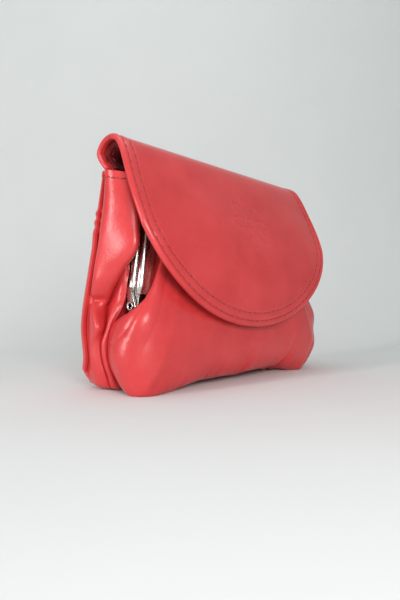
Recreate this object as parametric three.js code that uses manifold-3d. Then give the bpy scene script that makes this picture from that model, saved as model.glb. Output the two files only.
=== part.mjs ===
// Kiss-lock coin purse with a flap: a clasp pouch in front, a bellows pocket behind it and a zip
// pocket in the back panel. Millimetres, +Z up, front towards -Y, standing on z = 0.
import * as THREE from 'three';
import { mergeVertices } from 'three/addons/utils/BufferGeometryUtils.js';
import Module from 'manifold-3d';

const wasm = await Module();
wasm.setup();

// Thickness of the materials, and the air left between pieces
const LEATHER = 1.0;
const SUEDE = 0.8;
const CLOTH = 0.4;
const GAP = 0.3;
const PLY_GAP = 0.9;

// Purse body
const DEPTH = 39;
const HEM_Z = 77;
const HEM_Y = 11.6;
const BACK_HALF_WIDTH = 58.6;
const BACK_TOP_HALF_WIDTH = 54.5;
const BACK_BULGE_Z = 23;
const BACK_FOOT_Y = 12.5;
const EDGE_CURL = 2.5;
const EDGE_CURL_START = 0.8;
const SEAM_HALF_WIDTH = 56;
const SEAM_Y = 4;
const SEAM_Z = 6.2;
const SEAM_SHOULDER_INSET = 1.5;
const SEAM_SHOULDER_DROP = 7;
const SEAM_SIDE_RISE = 9.8;
const SEAM_CORNER_INSET = 0.8;
const SEAM_CORNER_RISE = 3;
const SEAM_BOTTOM_INSET = 4;
const SEAM_FOOT_RISE = 0.2;
const BODY_HALF_WIDTH = 58.5;
const FLATTEN = 1.6;

// Clasp frame
const FRAME_HALF_WIDTH = 50.5;
const FRAME_Y = -0.7;
const FRAME_TOP_Z = 68;
const FRAME_CORNER = 15;
const LEG_LEAN = 8;
const RIVET_Z = 29.5;
const BAR_WIDTH = 3.7;
const BAR_DEPTH = 5;
const BAR_WALL = 0.55;
const BAR_BACK = 0.8;
const BAR_ROUND = 1.3;
const LUG_THICKNESS = 0.8;
const LUG_RADIUS = 2.2;
const LUG_RISE = 4.5;
const LUG_LAP = 2;
const LUG_INSET = 0.4;
const RIVET_RADIUS = 1.0;
const RIVET_BORE = 0.65;
const RIVET_FLANGE = 1.5;
const RIVET_FLANGE_THICKNESS = 0.5;
const RIVET_PLAY = 0.1;
const BALL_RADIUS = 3;
const BALL_GAP = 0.6;
const BALL_CROSSING = 0.4;
const STEM_RADIUS = 1;
const CORD_RADIUS = 0.4;

// Leather held in the frame
const TUCK = 2.4;
const MOUTH = 1.2;
const POUCH_BEHIND_FLAP = 5;
const POUCH_SEAM_PULL = 2.1;
const POUCH_FORWARD_TOP_SIDE = 6;
const POUCH_FORWARD_SIDE = 20;
const POUCH_DROP_TOP = 11.8;
const POUCH_DROP_SIDE = 4;
const POUCH_SAG = 23.4;
const POUCH_SIDE_BULGE = 5.5;
const POUCH_FOOT_SAG = 9;
const POUCH_FOOT_SPREAD = 7;
const CLASP_BACK_BULGE = 2.2;

// Rear pocket
const DIVIDER_HALF_WIDTH = 49.5;
const DIVIDER_TOP_Z = 75;
const DIVIDER_TOP_Y = 4.8;
const DIVIDER_MID_Y = 5.4;
const DIVIDER_MID_Z = 45;
const DIVIDER_LOW_Y = 7.2;
const DIVIDER_LOW_Z = 26;
const GUSSET_BOTTOM_Z = 8;
const GUSSET_FOLD_X = DIVIDER_HALF_WIDTH + 3.7;
const GUSSET_HEM_DROP = 1.5;
const GUSSET_FOLD = 4.2;
const GUSSET_FOLD_BEHIND = 1.6;

// Flap
const FLAP_HALF_WIDTH = 58;
const FLAP_SEAM_HALF_WIDTH = 55;
const FLAP_STRAIGHT = 50;
const FLAP_LOW_Z = 21.5;
const FLAP_CREST_Y = -0.2;
const FLAP_CREST_RISE = 18;
const FLAP_CREST_Z = FRAME_TOP_Z + FLAP_CREST_RISE;
const LOOP_BACK_Y = 12.8;
const LOOP_BACK_DROP = 2;
const LOOP_BACK_Z = FLAP_CREST_Z - LOOP_BACK_DROP;
const LOOP_TOP_Y = 4.6;
const LOOP_TOP_RISE = 2.3;
const LOOP_TOP_Z = FLAP_CREST_Z + LOOP_TOP_RISE;
const LOOP_ROUND = 0.8;
const FLAP_ROW_EASE = 1.3;
const FLAP_CORNER_ANGLE = 80;
const FLAP_POINT = 1.1;
const RIM_WIDTH = 2.2;
const RIM_SLOPE_WIDTH = 0.6;
const LINING_MARGIN = 3.2;

// Magnetic snap
const SNAP_DROP = 31;
const SNAP_Z = FRAME_TOP_Z - SNAP_DROP;
const SNAP_RADIUS = 5.5;
const SNAP_THICKNESS = 0.7;
const SNAP_EDGE = 0.4;
const WASHER_RADIUS = 3;
const WASHER_THICKNESS = 0.25;

// Zip
const ZIP_Z = 63;
const ZIP_HALF_LENGTH = 40;
const ZIP_WINDOW_HALF_HEIGHT = 3.6;
const TAPE_HEIGHT = 8;
const TAPE_END = 3;
const SLIT = 1.4;
const TEETH_HEIGHT = 1.9;
const TEETH_DEPTH = 1.1;
const TOOTH_PITCH = 2.5;
const TOOTH_NOTCH = 0.7;
const STOP_LENGTH = 2;
const SLIDER_LENGTH = 8;
const SLIDER_HEIGHT = 6.4;
const SLIDER_OUTER_PLATE = 1;
const SLIDER_INNER_PLATE = 0.7;
const POST_LENGTH = 2.4;
const EAR_THICKNESS = 0.9;
const EAR_HEIGHT = 3;
const EAR_WIDTH = 2.4;
const PIN_RADIUS = 0.6;
const PULL_WIDTH = 3.6;
const PULL_LENGTH = 15;
const PULL_THICKNESS = 1.2;
const PULL_EYE_RADIUS = 1.6;
const PULL_EYE_PLAY = 0.1;
const PULL_LEAN = 7;
const BAG_DEPTH = 34;
const BAG_FOLD = 1.6;

// Grid counts
const LEG_STEPS = 4;
const ARC_STEPS = 4;
const TOP_STEPS = 4;
const POUCH_ROWS = 13;
const CLASP_BACK_ROWS = 6;
const BACK_COLUMNS = 16;
const BACK_ROWS = 21;
const GUSSET_COLUMNS = 8;
const GUSSET_ROWS = 10;
const FLAP_COLUMNS = 14;
const FLAP_ROWS = 18;
const ROUND_SIDES = 16;

// Colours and finishes
const leatherRed = { color: 0xd23a3c, roughness: 0.38, metalness: 0 };
const suedeRed = { color: 0x7c1a1c, roughness: 0.95, metalness: 0 };
const clothDark = { color: 0x3a1517, roughness: 0.9, metalness: 0 };
const nickel = { color: 0xc9c9c6, roughness: 0.2, metalness: 1 };
const paper = { color: 0xb89a72, roughness: 0.9, metalness: 0 };
const tapeRed = { color: 0xa82428, roughness: 0.9, metalness: 0 };

const purse = new THREE.Group();

function addPiece(parent, name, geometry, finish) {
  const mesh = new THREE.Mesh(geometry, new THREE.MeshStandardMaterial(finish));
  mesh.name = name;
  parent.add(mesh);
  return mesh;
}

// A closed indexed geometry, turned so that its faces point out
function closedGeometry(points, triangles) {
  const position = new Float32Array(points.length * 3);
  points.forEach((point, i) => point.toArray(position, i * 3));
  const cross = new THREE.Vector3();
  let volume = 0;
  for (const [a, b, c] of triangles) {
    volume += cross.crossVectors(points[a], points[b]).dot(points[c]);
  }
  const ordered = volume < 0 ? triangles.map(([a, b, c]) => [a, c, b]) : triangles;
  const geometry = new THREE.BufferGeometry();
  geometry.setAttribute('position', new THREE.BufferAttribute(position, 3));
  geometry.setIndex(ordered.flat());
  return geometry;
}

// Unit normal of a grid of points at one place: along the columns crossed with down the rows
function gridNormal(grid, i, j) {
  const before = grid[Math.max(i - 1, 0)][j];
  const after = grid[Math.min(i + 1, grid.length - 1)][j];
  const above = grid[i][Math.max(j - 1, 0)];
  const below = grid[i][Math.min(j + 1, grid[i].length - 1)];
  const across = after.clone().sub(before);
  const down = below.clone().sub(above);
  return across.cross(down).normalize();
}

function offsetGrid(grid, distance) {
  return grid.map((column, i) =>
    column.map((point, j) => point.clone().addScaledVector(gridNormal(grid, i, j), distance)));
}

// A sheet of leather or cloth: a grid of points on its middle surface, thickened to both sides.
// extra(i, j) thickens the inner side further. Nothing reaches below the resting surface.
function sheet(grid, thickness, extra = () => 0) {
  const columns = grid.length;
  const rows = grid[0].length;
  const outer = offsetGrid(grid, thickness / 2);
  const inner = grid.map((column, i) => column.map((point, j) =>
    point.clone().addScaledVector(gridNormal(grid, i, j), -thickness / 2 - extra(i, j))));
  for (const point of outer.flat()) {
    point.z = Math.max(point.z, 0);
  }
  for (const point of inner.flat()) {
    point.z = Math.max(point.z, thickness / 2);
  }
  const points = [...outer.flat(), ...inner.flat()];
  const outside = (i, j) => i * rows + j;
  const inside = (i, j) => columns * rows + outside(i, j);
  const triangles = [];
  const quad = (a, b, c, d) => triangles.push([a, b, c], [a, c, d]);
  for (let i = 0; i < columns - 1; i++) {
    for (let j = 0; j < rows - 1; j++) {
      quad(outside(i, j), outside(i + 1, j), outside(i + 1, j + 1), outside(i, j + 1));
      quad(inside(i, j), inside(i, j + 1), inside(i + 1, j + 1), inside(i + 1, j));
    }
    quad(outside(i, 0), inside(i, 0), inside(i + 1, 0), outside(i + 1, 0));
    quad(outside(i + 1, rows - 1), inside(i + 1, rows - 1), inside(i, rows - 1), outside(i, rows - 1));
  }
  for (let j = 0; j < rows - 1; j++) {
    quad(outside(0, j + 1), inside(0, j + 1), inside(0, j), outside(0, j));
    const last = columns - 1;
    quad(outside(last, j), inside(last, j), inside(last, j + 1), outside(last, j + 1));
  }
  return closedGeometry(points, triangles);
}

// A bar along a row of closed rings, capped at both ends. outline is one ring drawn flat.
function bar(rings, outline) {
  const count = outline.length;
  const points = rings.flat();
  const triangles = [];
  for (let k = 0; k < rings.length - 1; k++) {
    for (let i = 0; i < count; i++) {
      const next = (i + 1) % count;
      const [a, b] = [k * count + i, k * count + next];
      triangles.push([a, b, b + count], [a, b + count, a + count]);
    }
  }
  const flat = THREE.ShapeUtils.isClockWise(outline) ? [...outline].reverse() : outline;
  const order = (i) => (flat === outline ? i : count - 1 - i);
  const wound = flat === outline ? 1 : -1;
  const last = (rings.length - 1) * count;
  for (const [a, b, c] of THREE.ShapeUtils.triangulateShape(flat, [])) {
    const face = wound > 0 ? [order(a), order(b), order(c)] : [order(a), order(c), order(b)];
    triangles.push([face[0], face[2], face[1]], face.map((i) => i + last));
  }
  return closedGeometry(points, triangles);
}

function toSolid(geometry) {
  const bare = new THREE.BufferGeometry();
  bare.setAttribute('position', geometry.getAttribute('position').clone());
  bare.setIndex(geometry.index ? geometry.index.clone() : null);
  const merged = mergeVertices(bare);
  const vertProperties = new Float32Array(merged.getAttribute('position').array);
  const triVerts = new Uint32Array(merged.index.array);
  return new wasm.Manifold(new wasm.Mesh({ numProp: 3, vertProperties, triVerts }));
}

function toGeometry(solid) {
  const mesh = solid.getMesh();
  const geometry = new THREE.BufferGeometry();
  geometry.setAttribute('position', new THREE.BufferAttribute(new Float32Array(mesh.vertProperties), 3));
  geometry.setIndex([...mesh.triVerts]);
  return geometry;
}

function joined(...geometries) {
  return toGeometry(geometries.map(toSolid).reduce((whole, piece) => whole.add(piece)));
}

function cut(geometry, tool) {
  return toGeometry(toSolid(geometry).subtract(toSolid(tool)));
}

function box(low, high) {
  const size = high.map((value, i) => value - low[i]);
  const middle = high.map((value, i) => (value + low[i]) / 2);
  return new THREE.BoxGeometry(...size).translate(...middle);
}

// The same grid on the other side of the purse, still facing out
function mirrored(grid) {
  const across = (point) => new THREE.Vector3(-point.x, point.y, point.z);
  return [...grid].reverse().map((column) => column.map(across));
}

const smooth = (value) => THREE.MathUtils.smoothstep(value, 0, 1);
const mix = THREE.MathUtils.lerp;

// Stations along one half of the frame, from the end of a leg over the corner to the middle of the top bar,
// each with its place on the outer line and the direction into the frame
function leftStations() {
  const lean = THREE.MathUtils.degToRad(LEG_LEAN);
  const cornerZ = FRAME_TOP_Z - FRAME_CORNER;
  const across = (cornerZ - RIVET_Z) * Math.sin(lean) + FRAME_CORNER;
  const cornerX = -FRAME_HALF_WIDTH + across / Math.cos(lean);
  const onCorner = (angle) => [
    cornerX - FRAME_CORNER * Math.cos(angle),
    cornerZ + FRAME_CORNER * Math.sin(angle),
  ];
  const foot = [-FRAME_HALF_WIDTH + LUG_RISE * Math.tan(lean), RIVET_Z + LUG_RISE];
  const legTop = onCorner(lean);
  const stations = [];
  for (let k = 0; k < LEG_STEPS; k++) {
    const part = k / LEG_STEPS;
    const place = [mix(foot[0], legTop[0], part), mix(foot[1], legTop[1], part)];
    stations.push({ x: place[0], z: place[1], inX: Math.cos(lean), inZ: -Math.sin(lean) });
  }
  for (let k = 0; k < ARC_STEPS; k++) {
    const angle = mix(lean, Math.PI / 2, k / ARC_STEPS);
    const place = onCorner(angle);
    stations.push({ x: place[0], z: place[1], inX: Math.cos(angle), inZ: -Math.sin(angle) });
  }
  for (let k = 0; k <= TOP_STEPS; k++) {
    stations.push({ x: mix(cornerX, 0, k / TOP_STEPS), z: FRAME_TOP_Z, inX: 0, inZ: -1 });
  }
  return stations;
}

const HALF_STATIONS = leftStations();
const FRAME_STATIONS = [
  ...HALF_STATIONS,
  ...HALF_STATIONS.slice(0, -1).reverse().map((s) => ({ x: -s.x, z: s.z, inX: -s.inX, inZ: s.inZ })),
];
const STATION_MIDDLE = HALF_STATIONS.length - 1;

function framePoint(station, inset, y) {
  return new THREE.Vector3(station.x + station.inX * inset, FRAME_Y + y, station.z + station.inZ * inset);
}

// Half of the frame, a channel that is open towards the inside, with a flat lug at the end of each leg.
// side is -1 for the front half and 1 for the rear half.
function channelOutline(side) {
  const near = side * GAP / 2;
  const far = near + side * BAR_WIDTH;
  const round = side * BAR_ROUND;
  const bevel = BAR_ROUND * (1 - Math.SQRT1_2);
  const wall = side * BAR_WALL;
  const corners = [
    [BAR_DEPTH, near], [BAR_ROUND, near], [bevel, near + side * bevel], [0, near + round],
    [0, far - round], [bevel, far - side * bevel], [BAR_ROUND, far], [BAR_DEPTH, far],
    [BAR_DEPTH, far - wall], [BAR_BACK, far - wall], [BAR_BACK, near + wall], [BAR_DEPTH, near + wall],
  ];
  return corners.map(([inset, y]) => new THREE.Vector2(inset, y));
}

// Distance of each lug's outer face from the middle of the purse: the rear lug is the outer one
function lugOuterX(side) {
  const rear = FRAME_HALF_WIDTH - LUG_INSET;
  return side > 0 ? rear : rear - LUG_THICKNESS - GAP;
}

function lug(side, hand) {
  const near = side * GAP / 2;
  const far = near + side * BAR_WIDTH;
  const shape = new THREE.Shape();
  shape.moveTo(near, LUG_RISE + LUG_LAP);
  shape.lineTo(far, LUG_RISE + LUG_LAP);
  shape.lineTo(far, LUG_RISE);
  shape.absarc(0, 0, LUG_RADIUS, side > 0 ? 0 : Math.PI, side > 0 ? Math.PI : 0, side > 0);
  shape.lineTo(near, LUG_RISE);
  const hole = new THREE.Path();
  hole.absarc(0, 0, RIVET_RADIUS + RIVET_PLAY, 0, Math.PI * 2);
  shape.holes.push(hole);
  const settings = { depth: LUG_THICKNESS, bevelEnabled: false, curveSegments: ROUND_SIDES };
  const plate = new THREE.ExtrudeGeometry(shape, settings);
  const toSide = new THREE.Matrix4().makeBasis(
    new THREE.Vector3(0, 1, 0), new THREE.Vector3(0, 0, 1), new THREE.Vector3(1, 0, 0));
  plate.applyMatrix4(toSide);
  const start = hand < 0 ? -lugOuterX(side) : lugOuterX(side) - LUG_THICKNESS;
  return plate.translate(start, FRAME_Y, RIVET_Z);
}

function frameHalf(side) {
  const outline = channelOutline(side);
  const rings = FRAME_STATIONS.map((station) => outline.map((p) => framePoint(station, p.x, p.y)));
  return joined(bar(rings, outline), lug(side, -1), lug(side, 1));
}

addPiece(purse, 'front_frame', frameHalf(-1), nickel);
addPiece(purse, 'rear_frame', frameHalf(1), nickel);

// A tubular rivet through both lugs, flared at both ends
function rivet(hand) {
  const outer = lugOuterX(1) + GAP;
  const inner = lugOuterX(-1) - LUG_THICKNESS - GAP;
  const profile = [
    [RIVET_BORE, inner - RIVET_FLANGE_THICKNESS], [RIVET_FLANGE, inner - RIVET_FLANGE_THICKNESS],
    [RIVET_FLANGE, inner], [RIVET_RADIUS, inner], [RIVET_RADIUS, outer], [RIVET_FLANGE, outer],
    [RIVET_FLANGE, outer + RIVET_FLANGE_THICKNESS], [RIVET_BORE, outer + RIVET_FLANGE_THICKNESS],
    [RIVET_BORE, inner - RIVET_FLANGE_THICKNESS],
  ];
  const turned = new THREE.LatheGeometry(profile.map(([r, h]) => new THREE.Vector2(r, h)), ROUND_SIDES);
  turned.rotateZ(hand < 0 ? Math.PI / 2 : -Math.PI / 2);
  return turned.translate(0, FRAME_Y, RIVET_Z);
}

addPiece(purse, 'left_rivet', rivet(-1), nickel);
addPiece(purse, 'right_rivet', rivet(1), nickel);

// A kiss ball on its bent stem. The two balls pass each other and cross the middle plane.
function kissBall(side) {
  const x = -side * (BALL_RADIUS + BALL_GAP / 2);
  const barMiddle = FRAME_Y + side * (GAP + BAR_WIDTH) / 2;
  const centre = new THREE.Vector3(x, FRAME_Y - side * BALL_CROSSING, FRAME_TOP_Z + BALL_RADIUS + BALL_GAP);
  const ball = new THREE.SphereGeometry(BALL_RADIUS, ROUND_SIDES, ROUND_SIDES / 2);
  ball.translate(...centre.toArray());
  const places = [
    new THREE.Vector3(x, barMiddle, FRAME_TOP_Z + GAP),
    new THREE.Vector3(x, mix(barMiddle, centre.y, 1 / 3), FRAME_TOP_Z + GAP + STEM_RADIUS),
    centre,
  ];
  const outline = [];
  for (let i = 0; i < ROUND_SIDES / 2; i++) {
    const angle = (i / (ROUND_SIDES / 2)) * Math.PI * 2;
    outline.push(new THREE.Vector2(STEM_RADIUS * Math.cos(angle), STEM_RADIUS * Math.sin(angle)));
  }
  const rings = places.map((p) => outline.map((o) => new THREE.Vector3(p.x + o.x, p.y + o.y, p.z)));
  return joined(ball, bar(rings, outline));
}

addPiece(purse, 'front_kiss_ball', kissBall(-1), nickel);
addPiece(purse, 'rear_kiss_ball', kissBall(1), nickel);

// Middle of the leather inside a channel: against the outer flange, with the paper cord beside it
function tuckY(side) {
  return side * (GAP / 2 + BAR_WIDTH - BAR_WALL - GAP - LEATHER / 2);
}

function paperCord(side) {
  const middle = tuckY(side) - side * (LEATHER / 2 + GAP + CORD_RADIUS);
  const inset = TUCK + CORD_RADIUS + GAP;
  const outline = [[-1, -1], [1, -1], [1, 1], [-1, 1]].map(([a, b]) =>
    new THREE.Vector2(a * CORD_RADIUS, b * CORD_RADIUS));
  const held = FRAME_STATIONS.slice(1, -1);
  const rings = held.map((s) => outline.map((o) => framePoint(s, inset + o.x, middle + o.y)));
  return bar(rings, outline);
}

addPiece(purse, 'front_paper_cord', paperCord(-1), paper);
addPiece(purse, 'rear_paper_cord', paperCord(1), paper);

// The seam that closes the clasp pouch, from under a rivet round the side to the middle of the base
const SEAM_BOTTOM_X = SEAM_HALF_WIDTH - SEAM_BOTTOM_INSET;
const SEAM_CURVE = new THREE.CatmullRomCurve3([
  new THREE.Vector3(-FRAME_HALF_WIDTH - LEATHER, 0, RIVET_Z - 2 * LUG_RADIUS),
  new THREE.Vector3(-SEAM_HALF_WIDTH + SEAM_SHOULDER_INSET, 0, RIVET_Z - SEAM_SHOULDER_DROP),
  new THREE.Vector3(-SEAM_HALF_WIDTH, 0, SEAM_Z + SEAM_SIDE_RISE),
  new THREE.Vector3(-SEAM_HALF_WIDTH + SEAM_CORNER_INSET, 0, SEAM_Z + SEAM_CORNER_RISE),
  new THREE.Vector3(-SEAM_BOTTOM_X, 0, SEAM_Z + SEAM_FOOT_RISE),
  new THREE.Vector3(-SEAM_BOTTOM_X / 2, 0, SEAM_Z),
  new THREE.Vector3(0, 0, SEAM_Z),
]);

// Middles of the layers that meet in the seam, counted from the front
function seamLayerY(layer) {
  return SEAM_Y + (layer - 1 / 2) * (LEATHER + GAP);
}

function seamPlace(k) {
  const fromLeft = Math.min(k, 2 * STATION_MIDDLE - k);
  const part = fromLeft / STATION_MIDDLE;
  const place = SEAM_CURVE.getPoint(part);
  const along = SEAM_CURVE.getTangent(part);
  const out = new THREE.Vector3(along.z, 0, -along.x).normalize();
  if (k > STATION_MIDDLE) {
    place.x = -place.x;
    out.x = -out.x;
  }
  return { place, out, fromLeft };
}

// One line of leather from the frame's channel to the seam, as a cubic curve
function panelLine(k, side, rows, shape) {
  const station = FRAME_STATIONS[k];
  const { place, out, fromLeft } = seamPlace(k);
  const middle = smooth((fromLeft - LEG_STEPS + 1) / (ARC_STEPS + 2));
  const start = framePoint(station, BAR_DEPTH + MOUTH, tuckY(side));
  const { forwardTop, drop, forwardSeam, bulge, spread, sag, seamY } = shape(middle, fromLeft);
  const first = framePoint(station, BAR_DEPTH + MOUTH + drop, tuckY(side) + side * forwardTop);
  const end = new THREE.Vector3(place.x, seamY, place.z);
  const last = end.clone();
  last.x += out.x * bulge + Math.sign(place.x) * spread;
  last.y += side * forwardSeam;
  last.z += out.z * (out.z < 0 ? sag : bulge);
  const curve = new THREE.CubicBezierCurve3(start, first, last, end);
  return [framePoint(station, TUCK, tuckY(side)), ...curve.getPoints(rows)];
}

// The fullest part of the front panel stays behind the face of the flap
const FLAP_FACE_Y = -DEPTH / 2 + LEATHER / 2;
const POUCH_FACE_Y = FLAP_FACE_Y + POUCH_BEHIND_FLAP;

function pouchShape(middle, fromLeft) {
  const corner = Math.sin(Math.PI * THREE.MathUtils.clamp((fromLeft - LEG_STEPS) / (ARC_STEPS + 2), 0, 1));
  return {
    forwardTop: mix(POUCH_FORWARD_TOP_SIDE, FRAME_Y + tuckY(-1) - POUCH_FACE_Y, middle),
    drop: mix(POUCH_DROP_SIDE, POUCH_DROP_TOP, middle),
    forwardSeam: mix(POUCH_FORWARD_SIDE, -POUCH_SEAM_PULL * POUCH_FACE_Y, middle),
    bulge: POUCH_SIDE_BULGE,
    spread: POUCH_FOOT_SPREAD * corner,
    sag: POUCH_SAG + POUCH_FOOT_SAG * corner,
    seamY: seamLayerY(0),
  };
}

const POUCH_GRID = FRAME_STATIONS.map((s, k) => panelLine(k, -1, POUCH_ROWS, pouchShape)).reverse();
addPiece(purse, 'front_panel', sheet(POUCH_GRID, LEATHER), leatherRed);

function claspBackShape(middle) {
  return {
    forwardTop: mix(CLASP_BACK_BULGE, GAP, middle),
    drop: mix(POUCH_DROP_SIDE, POUCH_DROP_TOP, middle),
    forwardSeam: mix(CLASP_BACK_BULGE, 0, middle),
    bulge: 0,
    spread: 0,
    sag: 0,
    seamY: seamLayerY(1),
  };
}

const CLASP_BACK_GRID = FRAME_STATIONS.map((s, k) => panelLine(k, 1, CLASP_BACK_ROWS, claspBackShape));
addPiece(purse, 'clasp_back_panel', sheet(CLASP_BACK_GRID, LEATHER), leatherRed);

// Linings of the clasp pocket, inside the leather between the legs of the frame
function pouchLining(grid, fromRow, toRow) {
  const held = grid.slice(LEG_STEPS + ARC_STEPS, -(LEG_STEPS + ARC_STEPS));
  const inside = offsetGrid(held, -(LEATHER / 2 + PLY_GAP + CLOTH / 2));
  return sheet(inside.map((line) => line.slice(fromRow, toRow)), CLOTH);
}

addPiece(purse, 'clasp_front_lining', pouchLining(POUCH_GRID, 3, -5), clothDark);
addPiece(purse, 'clasp_rear_lining', pouchLining(CLASP_BACK_GRID, 2, -1), clothDark);

// Back panel: down the back, under the rear lobe and up to the seam. x holds its half width.
const BACK_FACE_Y = DEPTH / 2 - LEATHER / 2;
const backHalf = (share) => mix(BACK_TOP_HALF_WIDTH, BACK_HALF_WIDTH, share);
const backY = (share) => mix(HEM_Y, BACK_FACE_Y, share);
const BACK_CURVE = new THREE.CatmullRomCurve3([
  new THREE.Vector3(backHalf(0), backY(0), HEM_Z),
  new THREE.Vector3(backHalf(0.3), backY(0.27), ZIP_Z - LEATHER),
  new THREE.Vector3(backHalf(0.7), backY(0.58), DIVIDER_MID_Z),
  new THREE.Vector3(backHalf(1), backY(1), BACK_BULGE_Z),
  new THREE.Vector3(BACK_HALF_WIDTH - LEATHER / 2, BACK_FACE_Y - LEATHER, BACK_BULGE_Z / 3),
  new THREE.Vector3(SEAM_BOTTOM_X + EDGE_CURL, BACK_FOOT_Y, LEATHER / 2 - FLATTEN),
  new THREE.Vector3(SEAM_BOTTOM_X, mix(BACK_FOOT_Y, seamLayerY(3), 0.8), SEAM_Z / 2),
  new THREE.Vector3(SEAM_BOTTOM_X - LEATHER, seamLayerY(3), SEAM_Z),
]);

function backPoint(share, part) {
  const edge = BACK_CURVE.getPoint(part);
  const along = BACK_CURVE.getTangent(part);
  const curl = EDGE_CURL * Math.max(0, (Math.abs(share) - EDGE_CURL_START) / (1 - EDGE_CURL_START)) ** 2;
  const inward = new THREE.Vector3(0, along.z, -along.y).normalize();
  return new THREE.Vector3(share * edge.x, edge.y, edge.z).addScaledVector(inward, curl);
}

// Where the back panel's curve passes a height on its way down
function backPartAt(z) {
  let low = 0;
  let high = (BACK_CURVE.points.length - 3) / (BACK_CURVE.points.length - 1);
  for (let i = 0; i < 40; i++) {
    const middle = (low + high) / 2;
    if (BACK_CURVE.getPoint(middle).z > z) {
      low = middle;
    } else {
      high = middle;
    }
  }
  return low;
}

const BACK_GRID = [];
for (let i = 0; i <= BACK_COLUMNS; i++) {
  const share = Math.sin(mix(-1, 1, i / BACK_COLUMNS) * Math.PI / 2);
  const column = [];
  for (let j = 0; j <= BACK_ROWS; j++) {
    column.push(backPoint(share, j / BACK_ROWS));
  }
  BACK_GRID.push(column);
}

// The zip lies in a frame of its own on the back panel: y out of the leather, z up along it
const ZIP_PART = backPartAt(ZIP_Z);
const ZIP_SLOPE = BACK_CURVE.getTangent(ZIP_PART);
const ZIP_TILT = Math.atan2(ZIP_SLOPE.y, -ZIP_SLOPE.z);
const zip = new THREE.Group();
zip.position.set(0, BACK_CURVE.getPoint(ZIP_PART).y, ZIP_Z);
zip.rotation.x = ZIP_TILT;
zip.updateMatrixWorld(true);
purse.add(zip);

const WINDOW_CUT = box(
  [-ZIP_HALF_LENGTH, -LEATHER - GAP, -ZIP_WINDOW_HALF_HEIGHT],
  [ZIP_HALF_LENGTH, LEATHER + GAP, ZIP_WINDOW_HALF_HEIGHT]);
WINDOW_CUT.applyMatrix4(zip.matrixWorld);
addPiece(purse, 'back_panel', cut(sheet(BACK_GRID, LEATHER), WINDOW_CUT), leatherRed);

// Divider: the front wall of the rear pocket
const DIVIDER_CURVE = new THREE.CatmullRomCurve3([
  new THREE.Vector3(DIVIDER_HALF_WIDTH, DIVIDER_TOP_Y, DIVIDER_TOP_Z),
  new THREE.Vector3(DIVIDER_HALF_WIDTH, DIVIDER_TOP_Y, mix(DIVIDER_TOP_Z, DIVIDER_MID_Z, 0.5)),
  new THREE.Vector3(DIVIDER_HALF_WIDTH, DIVIDER_MID_Y, DIVIDER_MID_Z),
  new THREE.Vector3(DIVIDER_HALF_WIDTH, DIVIDER_LOW_Y, DIVIDER_LOW_Z),
  new THREE.Vector3(SEAM_BOTTOM_X - 2 * LEATHER, seamLayerY(2), SEAM_Z),
]);
const DIVIDER_ROWS = 8;
const DIVIDER_COLUMNS = 2;
const DIVIDER_GRID = [];
for (let i = 0; i <= DIVIDER_COLUMNS; i++) {
  const share = mix(-1, 1, i / DIVIDER_COLUMNS);
  const line = DIVIDER_CURVE.getPoints(DIVIDER_ROWS);
  DIVIDER_GRID.push(line.map((p) => new THREE.Vector3(share * p.x, p.y, p.z)));
}
addPiece(purse, 'divider_panel', sheet(DIVIDER_GRID, LEATHER), leatherRed);

// Where the divider stands at a height
function dividerY(z) {
  const line = DIVIDER_CURVE.getPoints(DIVIDER_ROWS * 4);
  const k = line.findIndex((p) => p.z <= z);
  if (k <= 0) {
    return line[0].y;
  }
  const [above, below] = [line[k - 1], line[k]];
  return mix(above.y, below.y, (above.z - z) / (above.z - below.z));
}

// Left gusset: from the divider's edge forward round a fold, out over the leaf and back to the back panel.
// The fold stands in front of the divider at the hem and falls behind it lower down.
const FOLD_FORWARD = new THREE.CatmullRomCurve3([
  new THREE.Vector3(0.6 * GUSSET_FOLD, 0, HEM_Z),
  new THREE.Vector3(GUSSET_FOLD, 0, mix(HEM_Z, GUSSET_BOTTOM_Z, 0.25)),
  new THREE.Vector3(0.5 * GUSSET_FOLD, 0, mix(HEM_Z, GUSSET_BOTTOM_Z, 0.5)),
  new THREE.Vector3(-GUSSET_FOLD_BEHIND, 0, mix(HEM_Z, GUSSET_BOTTOM_Z, 0.7)),
  new THREE.Vector3(-0.5 * GUSSET_FOLD_BEHIND, 0, GUSSET_BOTTOM_Z),
]);

const GUSSET_GRID = [];
for (let i = 0; i <= GUSSET_COLUMNS; i++) {
  GUSSET_GRID.push([]);
}
for (let j = 0; j <= GUSSET_ROWS; j++) {
  const down = j / GUSSET_ROWS;
  const z = mix(HEM_Z - GUSSET_HEM_DROP, GUSSET_BOTTOM_Z, down);
  const rear = backPoint(-1, backPartAt(z));
  rear.y -= LEATHER + GAP;
  rear.z = z;
  const front = new THREE.Vector3(-DIVIDER_HALF_WIDTH - GAP - LEATHER / 2, dividerY(z), z);
  const fold = new THREE.Vector3(-GUSSET_FOLD_X, front.y - FOLD_FORWARD.getPoint(down).x, z);
  const crestX = mix(-BODY_HALF_WIDTH + LEATHER / 2, rear.x, (1 - Math.sin(Math.PI * down)) ** 2);
  const crest = new THREE.Vector3(crestX, mix(fold.y, rear.y, 0.5), z);
  const section = new THREE.CatmullRomCurve3([front, fold, crest, rear]);
  section.getPoints(GUSSET_COLUMNS).forEach((point, i) => GUSSET_GRID[i].push(point));
}
addPiece(purse, 'left_gusset', sheet(GUSSET_GRID, LEATHER), leatherRed);
addPiece(purse, 'right_gusset', sheet(mirrored(GUSSET_GRID), LEATHER), leatherRed);

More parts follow.
